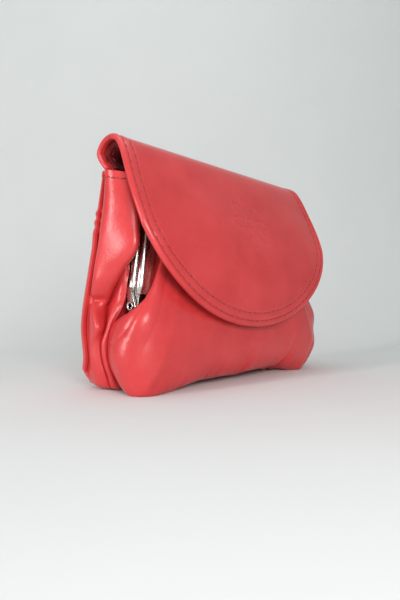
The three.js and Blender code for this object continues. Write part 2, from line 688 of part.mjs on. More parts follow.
// Flap: from the hem up round an open loop, over the front and down to a rounded end
const FLAP_SEAM_Y = HEM_Y - LEATHER - GAP;
const FLAP_CURVE = new THREE.CatmullRomCurve3([
  new THREE.Vector3(0, FLAP_SEAM_Y, HEM_Z + 2 * GAP),
  new THREE.Vector3(0, mix(FLAP_SEAM_Y, LOOP_BACK_Y, LOOP_ROUND), mix(HEM_Z, LOOP_BACK_Z, 0.5)),
  new THREE.Vector3(0, LOOP_BACK_Y, LOOP_BACK_Z),
  new THREE.Vector3(0, mix(LOOP_TOP_Y, LOOP_BACK_Y, 0.6), mix(LOOP_BACK_Z, LOOP_TOP_Z, LOOP_ROUND)),
  new THREE.Vector3(0, LOOP_TOP_Y, LOOP_TOP_Z),
  new THREE.Vector3(0, FLAP_CREST_Y, FLAP_CREST_Z),
  new THREE.Vector3(0, mix(FLAP_CREST_Y, FLAP_FACE_Y, 0.42), mix(FLAP_CREST_Z, FLAP_LOW_Z, 0.225)),
  new THREE.Vector3(0, mix(FLAP_CREST_Y, FLAP_FACE_Y, 0.8), mix(FLAP_CREST_Z, FLAP_LOW_Z, 0.488)),
  new THREE.Vector3(0, mix(FLAP_CREST_Y, FLAP_FACE_Y, 0.97), mix(FLAP_CREST_Z, FLAP_LOW_Z, 0.713)),
  new THREE.Vector3(0, FLAP_FACE_Y, FLAP_LOW_Z),
], false, 'centripetal');
const FLAP_LENGTH = FLAP_CURVE.getLength();
const FLAP_CORNER = THREE.MathUtils.degToRad(FLAP_CORNER_ANGLE);

// Place on the flap: share of the half width from -1 to 1, and the share of the way from the hem to the edge.
// margin draws the whole outline in.
function flapPlace(share, part, margin) {
  const angle = share * FLAP_CORNER;
  const half = FLAP_HALF_WIDTH - margin;
  const end = FLAP_STRAIGHT + (FLAP_LENGTH - margin - FLAP_STRAIGHT) * Math.cos(angle) ** FLAP_POINT;
  const along = part * end;
  const taper = mix(FLAP_SEAM_HALF_WIDTH / FLAP_HALF_WIDTH, 1, smooth(along / FLAP_STRAIGHT));
  const place = FLAP_CURVE.getPointAt(Math.min(along / FLAP_LENGTH, 1));
  place.x = -half * taper * Math.sin(angle) / Math.sin(FLAP_CORNER);
  return place;
}

// Shares across the flap with two lines close to each edge for the rolled rim
function flapShares(columns) {
  const shares = [];
  for (let i = 0; i <= columns; i++) {
    shares.push(mix(-1, 1, i / columns));
  }
  return shares;
}

const RIM_SHARE = 1 - Math.asin(Math.sin(FLAP_CORNER) * (1 - RIM_WIDTH / FLAP_HALF_WIDTH)) / FLAP_CORNER;
const RIM_END = (RIM_WIDTH + RIM_SLOPE_WIDTH) / FLAP_HALF_WIDTH;
const FIELD_SHARE = 1 - Math.asin(Math.sin(FLAP_CORNER) * (1 - RIM_END)) / FLAP_CORNER;
const FIELD = flapShares(FLAP_COLUMNS).map((share) => share * (1 - FIELD_SHARE));
const FLAP_SHARES = [-1, -1 + RIM_SHARE, ...FIELD, 1 - RIM_SHARE, 1];
const FLAP_GRID = FLAP_SHARES.map((share) => {
  const line = [];
  const length = FLAP_LENGTH * Math.max(Math.cos(share * FLAP_CORNER), 1 / 2);
  const rimPart = 1 - RIM_WIDTH / length;
  const fieldPart = 1 - (RIM_WIDTH + RIM_SLOPE_WIDTH) / length;
  for (let j = 0; j <= FLAP_ROWS; j++) {
    line.push(flapPlace(share, fieldPart * (j / FLAP_ROWS) ** FLAP_ROW_EASE, 0));
  }
  line.push(flapPlace(share, rimPart, 0), flapPlace(share, 1, 0));
  return line;
});

// The edge is turned over, so the rim is as thick as the flap with its lining
function rimExtra(i, j) {
  const onSide = i < 2 || i > FLAP_SHARES.length - 3;
  return onSide || j > FLAP_ROWS ? PLY_GAP : 0;
}
addPiece(purse, 'flap_outer', sheet(FLAP_GRID, LEATHER, rimExtra), leatherRed);

const LINING_GRID = flapShares(FLAP_COLUMNS).map((share) => {
  const line = [];
  for (let j = 0; j <= FLAP_ROWS; j++) {
    line.push(flapPlace(share, (j / FLAP_ROWS) ** FLAP_ROW_EASE, LINING_MARGIN));
  }
  return line;
});
const LINING_DEPTH = LEATHER / 2 + PLY_GAP + SUEDE / 2;
addPiece(purse, 'flap_lining', sheet(offsetGrid(LINING_GRID, -LINING_DEPTH), SUEDE), suedeRed);

// Magnetic snap: discs on the faces of the flap lining and the front panel, washers behind those layers.
// Each stands square to the leather at the middle of the purse.
function placeOn(line, z) {
  const k = line.findIndex((p, i) => i > line.length / 3 && p.z <= z);
  const [above, below] = [line[k - 1], line[k]];
  const part = (above.z - z) / (above.z - below.z);
  const point = above.clone().lerp(below, part);
  const along = below.clone().sub(above).normalize();
  return { point, tilt: Math.atan2(-along.y, -along.z) };
}

function disc(radius, low, high) {
  const edge = Math.min(SNAP_EDGE, (high - low) / 3);
  const profile = [
    [0, low], [radius - edge, low], [radius, low + edge],
    [radius, high - edge], [radius - edge, high], [0, high],
  ];
  return new THREE.LatheGeometry(profile.map(([r, h]) => new THREE.Vector2(r, h)), ROUND_SIDES);
}

// A disc whose axis leaves the leather forwards, from low to high in front of its middle surface
function snapPiece(name, seat, radius, low, high) {
  const piece = addPiece(purse, name, disc(radius, low, high).rotateX(Math.PI), nickel);
  piece.position.copy(seat.point);
  piece.rotation.x = -seat.tilt;
}

const FLAP_MIDDLE = FLAP_GRID[Math.floor(FLAP_SHARES.length / 2)];
const flapSeat = placeOn(FLAP_MIDDLE, SNAP_Z);
const pouchSeat = placeOn(POUCH_GRID[STATION_MIDDLE], SNAP_Z);
const liningFace = LINING_DEPTH + SUEDE / 2 + 2 * GAP;
const washerFace = -LEATHER / 2 - (PLY_GAP - WASHER_THICKNESS) / 2;
snapPiece('stud_washer', flapSeat, WASHER_RADIUS, washerFace - WASHER_THICKNESS, washerFace);
snapPiece('snap_stud', flapSeat, SNAP_RADIUS, -liningFace - SNAP_THICKNESS, -liningFace);
snapPiece('snap_socket', pouchSeat, SNAP_RADIUS, LEATHER / 2 + GAP, LEATHER / 2 + GAP + SNAP_THICKNESS);
snapPiece('socket_washer', pouchSeat, WASHER_RADIUS, washerFace - WASHER_THICKNESS, washerFace);

// Zip tapes, one above and one below the slit, behind the window
const TAPE_FACE = -LEATHER / 2 - GAP;
const TAPE_BACK = TAPE_FACE - CLOTH;
const TAPE_HALF = ZIP_HALF_LENGTH + TAPE_END;

function zipTape(hand) {
  const heights = [hand * SLIT / 2, hand * TAPE_HEIGHT].sort((a, b) => a - b);
  return box([-TAPE_HALF, TAPE_BACK, heights[0]], [TAPE_HALF, TAPE_FACE, heights[1]]);
}

addPiece(zip, 'upper_zip_tape', zipTape(1), tapeRed);
addPiece(zip, 'lower_zip_tape', zipTape(-1), tapeRed);

// A row of teeth as one comb along the edge of its tape
const TEETH_FACE = TAPE_FACE + GAP;
const TEETH_HALF = ZIP_HALF_LENGTH - STOP_LENGTH - 2 * GAP;

function zipTeeth(hand) {
  const root = SLIT / 2 + TEETH_HEIGHT;
  const shape = new THREE.Shape();
  const count = Math.floor(2 * TEETH_HALF / TOOTH_PITCH);
  const pitch = 2 * TEETH_HALF / count;
  shape.moveTo(-TEETH_HALF, hand * root);
  for (let i = 0; i < count; i++) {
    const start = -TEETH_HALF + i * pitch;
    shape.lineTo(start, hand * SLIT / 2);
    shape.lineTo(start + pitch / 2, hand * SLIT / 2);
    shape.lineTo(start + pitch / 2, hand * (SLIT / 2 + TOOTH_NOTCH));
    shape.lineTo(start + pitch, hand * (SLIT / 2 + TOOTH_NOTCH));
  }
  shape.lineTo(TEETH_HALF, hand * root);
  const comb = new THREE.ExtrudeGeometry(shape, { depth: TEETH_DEPTH, bevelEnabled: false });
  comb.rotateX(Math.PI / 2);
  comb.translate(0, TEETH_FACE + TEETH_DEPTH, 0);
  return comb;
}

addPiece(zip, 'upper_zip_teeth', zipTeeth(1), nickel);
addPiece(zip, 'lower_zip_teeth', zipTeeth(-1), nickel);

function zipStop(hand) {
  const ends = [hand * ZIP_HALF_LENGTH - hand * GAP, hand * (ZIP_HALF_LENGTH - GAP - STOP_LENGTH)];
  ends.sort((a, b) => a - b);
  const half = SLIT / 2 + TEETH_HEIGHT;
  return box([ends[0], TEETH_FACE, -half], [ends[1], TEETH_FACE + TEETH_DEPTH, half]);
}

addPiece(zip, 'left_zip_stop', zipStop(-1), nickel);
addPiece(zip, 'right_zip_stop', zipStop(1), nickel);

// Slider at the closed end: two plates joined by a post in the slit, with ears and a pin for the pull
const SLIDER_X = TEETH_HALF - GAP - SLIDER_LENGTH / 2;
const PLATE_BASE = TEETH_FACE + TEETH_DEPTH + GAP;
const PLATE_FACE = PLATE_BASE + SLIDER_OUTER_PLATE;
const INNER_PLATE = TAPE_BACK - GAP;
const PIN_Y = PLATE_FACE + EAR_HEIGHT - EAR_WIDTH / 2;

function zipSlider() {
  const long = SLIDER_LENGTH / 2;
  const tall = SLIDER_HEIGHT / 2;
  const earIn = PULL_WIDTH / 2 + GAP;
  const earOut = earIn + EAR_THICKNESS;
  const earTop = PLATE_FACE + EAR_HEIGHT;
  const outer = box([-long, PLATE_BASE, -tall], [long, PLATE_FACE, tall]);
  const inner = box([-long, INNER_PLATE - SLIDER_INNER_PLATE, -tall], [long, INNER_PLATE, tall]);
  const postHalf = SLIT / 2 - GAP;
  const postLong = POST_LENGTH / 2;
  const post = box([-postLong, INNER_PLATE - GAP, -postHalf], [postLong, PLATE_BASE + GAP, postHalf]);
  const ears = [-1, 1].map((hand) => {
    const ends = [hand * earIn, hand * earOut].sort((a, b) => a - b);
    return box([ends[0], PLATE_FACE - GAP, -EAR_WIDTH / 2], [ends[1], earTop, EAR_WIDTH / 2]);
  });
  const pin = new THREE.CylinderGeometry(PIN_RADIUS, PIN_RADIUS, 2 * earIn + EAR_THICKNESS, ROUND_SIDES);
  pin.rotateZ(Math.PI / 2).translate(0, PIN_Y, 0);
  return joined(outer, inner, post, ...ears, pin).translate(SLIDER_X, 0, 0);
}

addPiece(zip, 'zip_slider', zipSlider(), nickel);

// Pull: an eye round the pin and a tail that lies down the back panel
const pullHinge = new THREE.Group();
pullHinge.position.set(SLIDER_X, PIN_Y, 0);
pullHinge.rotation.x = -THREE.MathUtils.degToRad(PULL_LEAN);
zip.add(pullHinge);

function zipPull() {
  const shape = new THREE.Shape();
  const half = PULL_THICKNESS / 2;
  const shoulder = Math.acos(half / PULL_EYE_RADIUS);
  shape.moveTo(half, -PULL_LENGTH);
  shape.absarc(0, 0, PULL_EYE_RADIUS, -shoulder, Math.PI + shoulder, false);
  shape.lineTo(-half, -PULL_LENGTH);
  const eye = new THREE.Path();
  eye.absarc(0, 0, PIN_RADIUS + PULL_EYE_PLAY, 0, Math.PI * 2);
  shape.holes.push(eye);
  const settings = { depth: PULL_WIDTH, bevelEnabled: false, curveSegments: ROUND_SIDES };
  const tab = new THREE.ExtrudeGeometry(shape, settings);
  const toSide = new THREE.Matrix4().makeBasis(
    new THREE.Vector3(0, 1, 0), new THREE.Vector3(0, 0, 1), new THREE.Vector3(1, 0, 0));
  return tab.applyMatrix4(toSide).translate(-PULL_WIDTH / 2, 0, 0);
}

addPiece(pullHinge, 'zip_pull', zipPull(), nickel);

// Bag of the zip pocket: down from the lower tape, round a fold and up to the upper tape
const BAG_FACE = TAPE_BACK - GAP - CLOTH / 2;
const BAG_BEHIND = INNER_PLATE - SLIDER_INNER_PLATE - GAP - CLOTH / 2;
const BAG_CURVE = new THREE.CatmullRomCurve3([
  new THREE.Vector3(0, BAG_FACE, -TAPE_HEIGHT - GAP),
  new THREE.Vector3(0, BAG_FACE, -BAG_DEPTH),
  new THREE.Vector3(0, BAG_FACE - BAG_FOLD / 2, -BAG_DEPTH - BAG_FOLD / 2),
  new THREE.Vector3(0, BAG_FACE - BAG_FOLD, -BAG_DEPTH),
  new THREE.Vector3(0, BAG_FACE - BAG_FOLD, -TAPE_HEIGHT),
  new THREE.Vector3(0, BAG_BEHIND, -SLIDER_HEIGHT / 2),
  new THREE.Vector3(0, BAG_BEHIND, SLIDER_HEIGHT / 2),
  new THREE.Vector3(0, BAG_FACE, TAPE_HEIGHT),
], false, 'centripetal');
const BAG_ROWS = 24;
const BAG_GRID = [1, 0, -1].map((hand) =>
  BAG_CURVE.getPoints(BAG_ROWS).map((p) => new THREE.Vector3(hand * TAPE_HALF, p.y, p.z)));

// A sheet that doesn't meet the resting surface, so nothing is flattened
function openSheet(grid, thickness) {
  const lift = new THREE.Matrix4().makeTranslation(0, 0, DEPTH * 2);
  const drop = lift.clone().invert();
  const lifted = grid.map((column) => column.map((point) => point.clone().applyMatrix4(lift)));
  return sheet(lifted, thickness).applyMatrix4(drop);
}

addPiece(zip, 'zip_pocket_lining', openSheet(BAG_GRID, CLOTH), clothDark);

export default purse;
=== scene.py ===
# %% [markdown]
# # A kiss-lock coin purse in red leather
#
# The purse has a soft pouch under a nickel clasp, a bellows pocket behind it, a zip in its back and a
# flap over its front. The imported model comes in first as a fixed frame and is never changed. Each
# leather piece is then drawn again as a fine sheet on the same lines, the metal is rounded and
# plated, and thread, suede and zip are added.

# %% The frame
import math

import bpy
import numpy as np
from mathutils import Matrix, Vector


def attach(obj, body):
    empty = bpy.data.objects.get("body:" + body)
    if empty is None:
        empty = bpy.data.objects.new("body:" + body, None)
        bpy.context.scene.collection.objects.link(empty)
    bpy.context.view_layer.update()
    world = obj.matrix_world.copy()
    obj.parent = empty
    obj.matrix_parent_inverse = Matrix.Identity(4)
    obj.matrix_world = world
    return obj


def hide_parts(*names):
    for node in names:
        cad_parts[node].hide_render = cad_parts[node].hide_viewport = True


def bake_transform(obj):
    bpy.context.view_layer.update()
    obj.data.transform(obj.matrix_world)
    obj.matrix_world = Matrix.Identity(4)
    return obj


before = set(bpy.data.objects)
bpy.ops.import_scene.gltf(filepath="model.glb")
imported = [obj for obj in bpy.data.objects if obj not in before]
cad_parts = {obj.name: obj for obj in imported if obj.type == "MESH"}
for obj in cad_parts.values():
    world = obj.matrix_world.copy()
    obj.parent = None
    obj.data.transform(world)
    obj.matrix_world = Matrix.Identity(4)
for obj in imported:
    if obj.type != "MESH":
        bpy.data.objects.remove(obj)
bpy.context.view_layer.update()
MM = 0.001
print("frame loaded,", len(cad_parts), "nodes")

# %% [markdown]
# ## Small tools
#
# Blender's operators work on what is selected and on the active object, much as a person does with a
# mouse. So one helper makes a piece the only selected one, another adds a modifier with its settings
# and applies it, and a third puts a piece's place and turn into its mesh, so that the object itself
# stays at the origin.

# %% Selecting, modifiers and shading
def focus(piece):
    bpy.ops.object.select_all(action="DESELECT")
    piece.select_set(True)
    bpy.context.view_layer.objects.active = piece


def applied(piece, kind, **settings):
    focus(piece)
    bpy.ops.object.modifier_add(type=kind)
    modifier = piece.modifiers[-1]
    for key, value in settings.items():
        setattr(modifier, key, value)
    bpy.ops.object.modifier_apply(modifier=modifier.name)


def smooth_shaded(piece, angle=40):
    focus(piece)
    bpy.ops.object.shade_smooth_by_angle(angle=math.radians(angle))


def active_as(name):
    piece = bpy.context.object
    piece.name = name
    piece.data.name = name
    return piece


def settled(piece):
    focus(piece)
    bpy.ops.object.transform_apply(location=True, rotation=True, scale=True)
    return piece


# %% [markdown]
# Every finished piece gets its material, the body that it moves with, and the plain solids that it
# stands for, which are then hidden. A piece that bends is given two bodies and the stretch between them
# instead of one body, and only has its place put into its mesh.

# %% Finishing a piece
def finished(piece, body, finish, slot, *nodes):
    piece.data.materials.clear()
    piece.data.materials.append(finish)
    if isinstance(body, str):
        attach(piece, body)
    else:
        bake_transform(piece)
    if nodes:
        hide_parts(*nodes)
    print(piece.name, len(piece.data.polygons), "faces")
    return piece


# %% [markdown]
# ## Curves and sheets
#
# Leather and cloth are cut flat, then folded and sewn. Such sheets could be sculpted or simulated, but
# the lines that they follow on a purse are known, so each is a grid of points on curves. The curves
# pass through their points by the centripetal Catmull-Rom rule, because it makes no loops where
# points lie close together.

# %% Curves through points
def mix(a, b, share):
    return a + (b - a) * share


def ease(value):
    value = np.clip(value, 0, 1)
    return value * value * (3 - 2 * value)


def curve_point(points, share):
    points = np.asarray(points, float)
    last = len(points) - 1
    place = np.clip(share, 0, 1) * last
    i = min(int(place), last - 1)
    w = place - i
    p1, p2 = points[i], points[i + 1]
    p0 = points[i - 1] if i > 0 else 2 * points[0] - points[1]
    p3 = points[i + 2] if i + 2 <= last else 2 * points[last] - points[last - 1]
    d0, d1, d2 = (max(np.linalg.norm(b - a), 1e-8) ** 0.5 for a, b in ((p0, p1), (p1, p2), (p2, p3)))
    t1 = ((p1 - p0) / d0 - (p2 - p0) / (d0 + d1) + (p2 - p1) / d1) * d1
    t2 = ((p2 - p1) / d1 - (p3 - p1) / (d1 + d2) + (p3 - p2) / d2) * d1
    cubic, square = 2 * p1 - 2 * p2 + t1 + t2, 3 * p2 - 3 * p1 - 2 * t1 - t2
    return cubic * w ** 3 + square * w ** 2 + t1 * w + p1


def bezier(p0, p1, p2, p3, t):
    t = np.asarray(t)[:, None]
    return (1 - t) ** 3 * p0 + 3 * (1 - t) ** 2 * t * p1 + 3 * (1 - t) * t ** 2 * p2 + t ** 3 * p3


print("a curve round a corner starts at", curve_point([(0, 0), (1, 0), (1, 1)], 0.0))

# %% Directions out of a grid
def unit(vectors):
    return vectors / np.maximum(np.linalg.norm(vectors, axis=-1, keepdims=True), 1e-9)


def grid_normals(grid):
    return unit(np.cross(np.gradient(grid, axis=0), np.gradient(grid, axis=1)))


# %% [markdown]
# A sheet starts as Blender's own grid, whose points are moved to their places. Solidify gives it a
# thickness, half to each side. Where a sheet has a window, its squares are deleted first, so that the
# window's edge gets a wall as well. A padded piece has two different faces: both are laid as grids,
# and their borders are bridged.

# %% Sheets of leather and cloth
FLOOR_CLEARANCE = 0.02


def laid(name, grid):
    columns, rows = grid.shape[:2]
    bpy.ops.object.select_all(action="DESELECT")
    bpy.ops.mesh.primitive_grid_add(x_subdivisions=columns - 1, y_subdivisions=rows - 1)
    piece = active_as(name)
    points = grid.transpose(1, 0, 2).reshape(-1, 3) * MM
    piece.data.vertices.foreach_set("co", points.ravel())
    piece.data.update()
    return piece


def cut_out(piece, squares):
    bpy.ops.object.mode_set(mode="EDIT")
    bpy.ops.mesh.select_mode(type="FACE")
    bpy.ops.mesh.select_all(action="DESELECT")
    bpy.ops.object.mode_set(mode="OBJECT")
    piece.data.polygons.foreach_set("select", squares.T.ravel())
    bpy.ops.object.mode_set(mode="EDIT")
    bpy.ops.mesh.delete(type="FACE")
    bpy.ops.object.mode_set(mode="OBJECT")


def sheet(name, grid, thickness, window=None, on_floor=False):
    piece = laid(name, grid)
    if window is not None:
        cut_out(piece, window)
    applied(piece, "SOLIDIFY", thickness=thickness * MM, offset=0)
    if on_floor:
        for vertex in piece.data.vertices:
            vertex.co.z = max(vertex.co.z, FLOOR_CLEARANCE * MM)
    smooth_shaded(piece, 50)
    return piece


# %% Padded pieces with two faces
def shell(name, outer, inner):
    under = laid(name + "_inner_face", inner)
    under.data.flip_normals()
    piece = laid(name, outer)
    under.select_set(True)
    bpy.ops.object.join()
    bpy.ops.object.mode_set(mode="EDIT")
    bpy.ops.mesh.select_mode(type="EDGE")
    bpy.ops.mesh.select_all(action="DESELECT")
    bpy.ops.mesh.select_non_manifold()
    bpy.ops.mesh.bridge_edge_loops()
    bpy.ops.mesh.select_all(action="SELECT")
    bpy.ops.mesh.remove_doubles(threshold=1e-6)
    bpy.ops.mesh.normals_make_consistent(inside=False)
    bpy.ops.object.mode_set(mode="OBJECT")
    smooth_shaded(piece, 50)
    return piece


# %% [markdown]
# ## Camera
#
# The camera was found by fitting the purse's visible edges, such as the flap's outline, the rivet and
# the feet. It stands a little lower than half the purse's height, in front of its left side.

# %% Camera
CAMERA_PLACE, LENS = (-158.07, -131.85, 30.65), 29.38
yaw, pitch, roll = (math.radians(a) for a in (-47.47, 0.37, 0.31))
ahead = Vector((-math.sin(yaw) * math.cos(pitch), math.cos(yaw) * math.cos(pitch), math.sin(pitch)))
level = Vector((math.cos(yaw), math.sin(yaw), 0))
right = level * math.cos(roll) + level.cross(ahead) * math.sin(roll)
above = right.cross(ahead)
bpy.ops.object.camera_add()
camera = bpy.context.object
camera.data.lens = LENS
camera.data.clip_start = 5 * MM
turn = Matrix((right, above, -ahead)).transposed().to_4x4()
camera.matrix_world = Matrix.Translation(Vector(CAMERA_PLACE) * MM) @ turn
bpy.context.scene.camera = camera
bpy.context.scene.view_settings.view_transform = "Standard"
print("camera", round((camera.location - Vector((0, 0, 40 * MM))).length / MM), "mm from the purse's middle")

# %% [markdown]
# ## Materials
#
# Colours are given as they look on a screen and turned into linear values by one function. Another
# small function adds a node with its settings and links. Patterns are laid out in millimetres: object
# coordinates are in metres, so a mapping enlarges them a thousand times, and a texture's scale is then
# a count per millimetre.

# %% Node tools
def linear(code):
    values = [int(code[i:i + 2], 16) / 255 for i in (1, 3, 5)]
    return [v / 12.92 if v <= 0.04045 else ((v + 0.055) / 1.055) ** 2.4 for v in values] + [1]


def feed(tree, node, **inputs):
    for key, value in inputs.items():
        numbered = key[0] == "i" and key[1:].isdigit()
        socket = node.inputs[int(key[1:]) if numbered else key.replace("_", " ")]
        if isinstance(value, bpy.types.NodeSocket):
            tree.links.new(value, socket)
        else:
            socket.default_value = value


def add(tree, kind, settings=None, **inputs):
    node = tree.nodes.new("ShaderNode" + kind)
    for key, value in (settings or {}).items():
        setattr(node, key, value)
    feed(tree, node, **inputs)
    return node


def material(name, **constants):
    made = bpy.data.materials.new(name)
    made.use_nodes = True
    tree = made.node_tree
    surface = tree.nodes["Principled BSDF"]
    feed(tree, surface, **constants)
    place = add(tree, "TexCoord").outputs["Object"]
    millimetres = add(tree, "Mapping", Vector=place, Scale=(1000, 1000, 1000)).outputs["Vector"]
    return made, tree, surface, millimetres


print("middle grey #808080 is", round(linear("#808080")[0], 3), "in linear light")

# %% [markdown]
# ### Leather
#
# Dyed sheep nappa, glazed: a soft shine, cloudy colour from the dyeing drum, and a fine grain. Clouds
# are about 17 mm wide. The pebbles of the grain are a smooth Voronoi pattern of about 0.5 mm, bent by
# noise so that no row shows, over an unevenness of about 3 mm from the hide itself. A scanned picture
# of leather would give more pores, but a pattern has no seams and fits every panel.

# %% Leather
def leather(name, light, dark, grain=0.3):
    made, tree, skin, mm = material(name, Specular_IOR_Level=0.48, Coat_Weight=0.08, Coat_Roughness=0.3)
    clouds = add(tree, "TexNoise", Vector=mm, Scale=0.06, Detail=4.0, Roughness=0.55).outputs["Fac"]
    specks = add(tree, "TexNoise", Vector=mm, Scale=2.2, Detail=3.0).outputs["Fac"]
    tone = add(tree, "Mix", {"data_type": "FLOAT"}, i0=0.25, i2=clouds, i3=specks).outputs[0]
    spread = add(tree, "MapRange", Value=tone, From_Min=0.3, From_Max=0.7).outputs["Result"]
    dye = add(tree, "Mix", {"data_type": "RGBA"}, i0=spread, i6=linear(dark), i7=linear(light)).outputs[2]
    bend = add(tree, "TexNoise", Vector=mm, Scale=0.7, Detail=2.0).outputs["Color"]
    bent = add(tree, "Mix", {"data_type": "VECTOR"}, i0=0.18, i4=mm, i5=bend).outputs[1]
    pebbles = add(tree, "TexVoronoi", {"feature": "SMOOTH_F1"}, Vector=bent, Scale=1.9).outputs["Distance"]
    hide = add(tree, "TexNoise", Vector=mm, Scale=0.35, Detail=5.0, Roughness=0.6).outputs["Fac"]
    uneven = add(tree, "Bump", Height=hide, Strength=0.35, Distance=0.25 * MM).outputs["Normal"]
    grained = add(tree, "Bump", Height=pebbles, Strength=grain, Distance=0.12 * MM, Normal=uneven)
    gloss = add(tree, "MapRange", Value=clouds, To_Min=0.24, To_Max=0.35).outputs["Result"]
    feed(tree, skin, Base_Color=dye, Roughness=gloss, Normal=grained.outputs["Normal"])
    return made


nappa = leather("dyed_nappa_leather_glazed", "#d94244", "#c53032")
# A darker copy of the same leather for the divider and the pouch's rear panel: painted shade, as these panels
# sit deep inside the purse.
nappa_painted_shade = leather("nappa_leather_painted_shade_inner_panels", "#bd2c31", "#a01f25")
print("leather:", nappa.name, "and", nappa_painted_shade.name)

# %% [markdown]
# ### Suede
#
# Suede is leather with its flesh side brushed up. Its short fibres scatter light, so it is rough, with
# a little sheen and a noisy nap, and hands leave darker patches on it.

# %% Suede
suede, tree, fibres, mm = material("brushed_suede", Roughness=0.95, Specular_IOR_Level=0.1, Sheen_Weight=0.12)
nap = add(tree, "TexNoise", Vector=mm, Scale=1.4, Detail=6.0, Roughness=0.7).outputs["Fac"]
patches = add(tree, "TexNoise", Vector=mm, Scale=0.15, Detail=3.0).outputs["Fac"]
shade = add(tree, "Mix", {"data_type": "FLOAT"}, i0=0.5, i2=nap, i3=patches).outputs[0]
spread = add(tree, "MapRange", Value=shade, From_Min=0.35, From_Max=0.65).outputs["Result"]
dye = add(tree, "Mix", {"data_type": "RGBA"}, i0=spread, i6=linear("#5e1014"), i7=linear("#99282c"))
fuzz = add(tree, "Bump", Height=nap, Strength=0.8, Distance=0.5 * MM)
feed(tree, fibres, Base_Color=dye.outputs[2], Normal=fuzz.outputs["Normal"])
print("suede:", suede.name)

# %% [markdown]
# ### Lining and zip tape
#
# Both are plain weave: threads go over and under each other at right angles, so two wave patterns are
# multiplied. Blender's wave repeats every 0.31 of its own units, so that length over the thread
# spacing gives the scale. The spacing is drawn a little coarse, because finer threads wouldn't show.

# %% Woven cloth and tape
WAVE_LENGTH = 0.31


def weave(name, light, dark, spacing):
    made, tree, cloth, mm = material(name, Roughness=0.85, Specular_IOR_Level=0.25, Sheen_Weight=0.3)
    warp, weft = (add(tree, "TexWave", {"bands_direction": way}, Vector=mm, Scale=WAVE_LENGTH / spacing,
                      Distortion=0.4).outputs["Fac"] for way in ("X", "Z"))
    threads = add(tree, "Math", {"operation": "MULTIPLY"}, i0=warp, i1=weft).outputs[0]
    dye = add(tree, "Mix", {"data_type": "RGBA"}, i0=threads, i6=linear(dark), i7=linear(light))
    raised = add(tree, "Bump", Height=threads, Strength=0.6, Distance=0.15 * MM)
    feed(tree, cloth, Base_Color=dye.outputs[2], Normal=raised.outputs["Normal"])
    return made


lining_cloth = weave("plain_woven_lining", "#4a1c1f", "#260c0e", 0.5)
zip_cloth = weave("woven_zip_tape", "#b42a2e", "#8a1a1e", 0.7)
print("cloth:", lining_cloth.name, "and", zip_cloth.name)

# %% [markdown]
# ### Thread and paper cord
#
# Sewing thread and paper cord are both twisted, which shows as slanting bands, so they share one
# function. The shade inside a needle hole gets the same surface in a much darker red.

# %% Thread and paper cord
def twisted(name, light, dark, spacing):
    made, tree, strand, mm = material(name, Roughness=0.6, Specular_IOR_Level=0.4, Sheen_Weight=0.2)
    slant = {"bands_direction": "DIAGONAL"}
    plies = add(tree, "TexWave", slant, Vector=mm, Scale=WAVE_LENGTH / spacing).outputs["Fac"]
    dye = add(tree, "Mix", {"data_type": "RGBA"}, i0=plies, i6=linear(dark), i7=linear(light))
    raised = add(tree, "Bump", Height=plies, Strength=0.5, Distance=0.08 * MM)
    feed(tree, strand, Base_Color=dye.outputs[2], Normal=raised.outputs["Normal"])
    return made


thread = twisted("bonded_polyester_thread", "#c4373b", "#8e1b20", 0.35)
pricks = twisted("needle_holes_in_shade", "#4a0c0f", "#2c0608", 0.35)
cord_paper = twisted("twisted_kraft_paper", "#c2a47c", "#8d7048", 0.6)
print("strands:", thread.name, "and", cord_paper.name)

# %% [markdown]
# ### Nickel plate
#
# Polished plate shows faint buffing lines along the bars and a little haze. Roughness varies between
# those lines, and small dents break up the reflections. The zip's teeth and the snap's washers are
# worn duller, and the bore of a rivet gets a near-black steel as painted shade.

# %% Nickel
def plated(name, tint, smoothest, roughest):
    made, tree, plate, mm = material(name, Base_Color=linear(tint), Metallic=1.0)
    lengthwise = add(tree, "Mapping", Vector=mm, Scale=(3.0, 3.0, 0.15)).outputs["Vector"]
    buffing = add(tree, "TexNoise", Vector=lengthwise, Scale=1.0, Detail=4.0).outputs["Fac"]
    haze = add(tree, "TexNoise", Vector=mm, Scale=0.2, Detail=3.0).outputs["Fac"]
    both = add(tree, "Math", {"operation": "MULTIPLY"}, i0=buffing, i1=haze).outputs[0]
    gloss = add(tree, "MapRange", Value=both, To_Min=smoothest, To_Max=roughest).outputs["Result"]
    lines = add(tree, "Bump", Height=buffing, Strength=0.06, Distance=0.05 * MM).outputs["Normal"]
    dents = add(tree, "Bump", Height=haze, Strength=0.08, Distance=0.2 * MM, Normal=lines)
    feed(tree, plate, Roughness=gloss, Normal=dents.outputs["Normal"])
    return made


nickel = plated("polished_nickel_plate", "#cfcec9", 0.2, 0.5)
dark_nickel = plated("worn_nickel_plate", "#b3b1ab", 0.22, 0.5)
# Near-black steel for the rivets' bores: painted shade inside the tube.
bore_painted_shade = plated("steel_bore_painted_shade", "#2b2725", 0.5, 0.8)
print("metal:", nickel.name + ",", dark_nickel.name, "and", bore_painted_shade.name)

# %% [markdown]
# ## The clasp frame's line
#
# Everything in the pouch hangs from the clasp, so its line comes first: up a leaning leg, round a
# corner and along the top. A number from 0 to 24 runs along it. The leg ends at 4, the corner at 8, and
# 12 is the middle of the top bar. All lengths are in millimetres.

# %% Sizes of sheets and clasp
LEATHER, SUEDE, CLOTH = 1.0, 0.8, 0.4
GAP, PLY_GAP = 0.3, 0.9
FRAME_HALF, FRAME_Y, FRAME_TOP = 50.5, -0.7, 68
CORNER, RIVET_Z, LUG_RISE = 15, 29.5, 4.5
LEAN = math.radians(8)
BAR_WIDTH, BAR_DEPTH, BAR_WALL = 3.7, 5, 0.55
TUCK, MOUTH = 2.4, 1.2
CORNER_Z = FRAME_TOP - CORNER
CORNER_X = -FRAME_HALF + ((CORNER_Z - RIVET_Z) * math.sin(LEAN) + CORNER) / math.cos(LEAN)
LEG_END, CORNER_END, STATIONS = 4, 8, 24


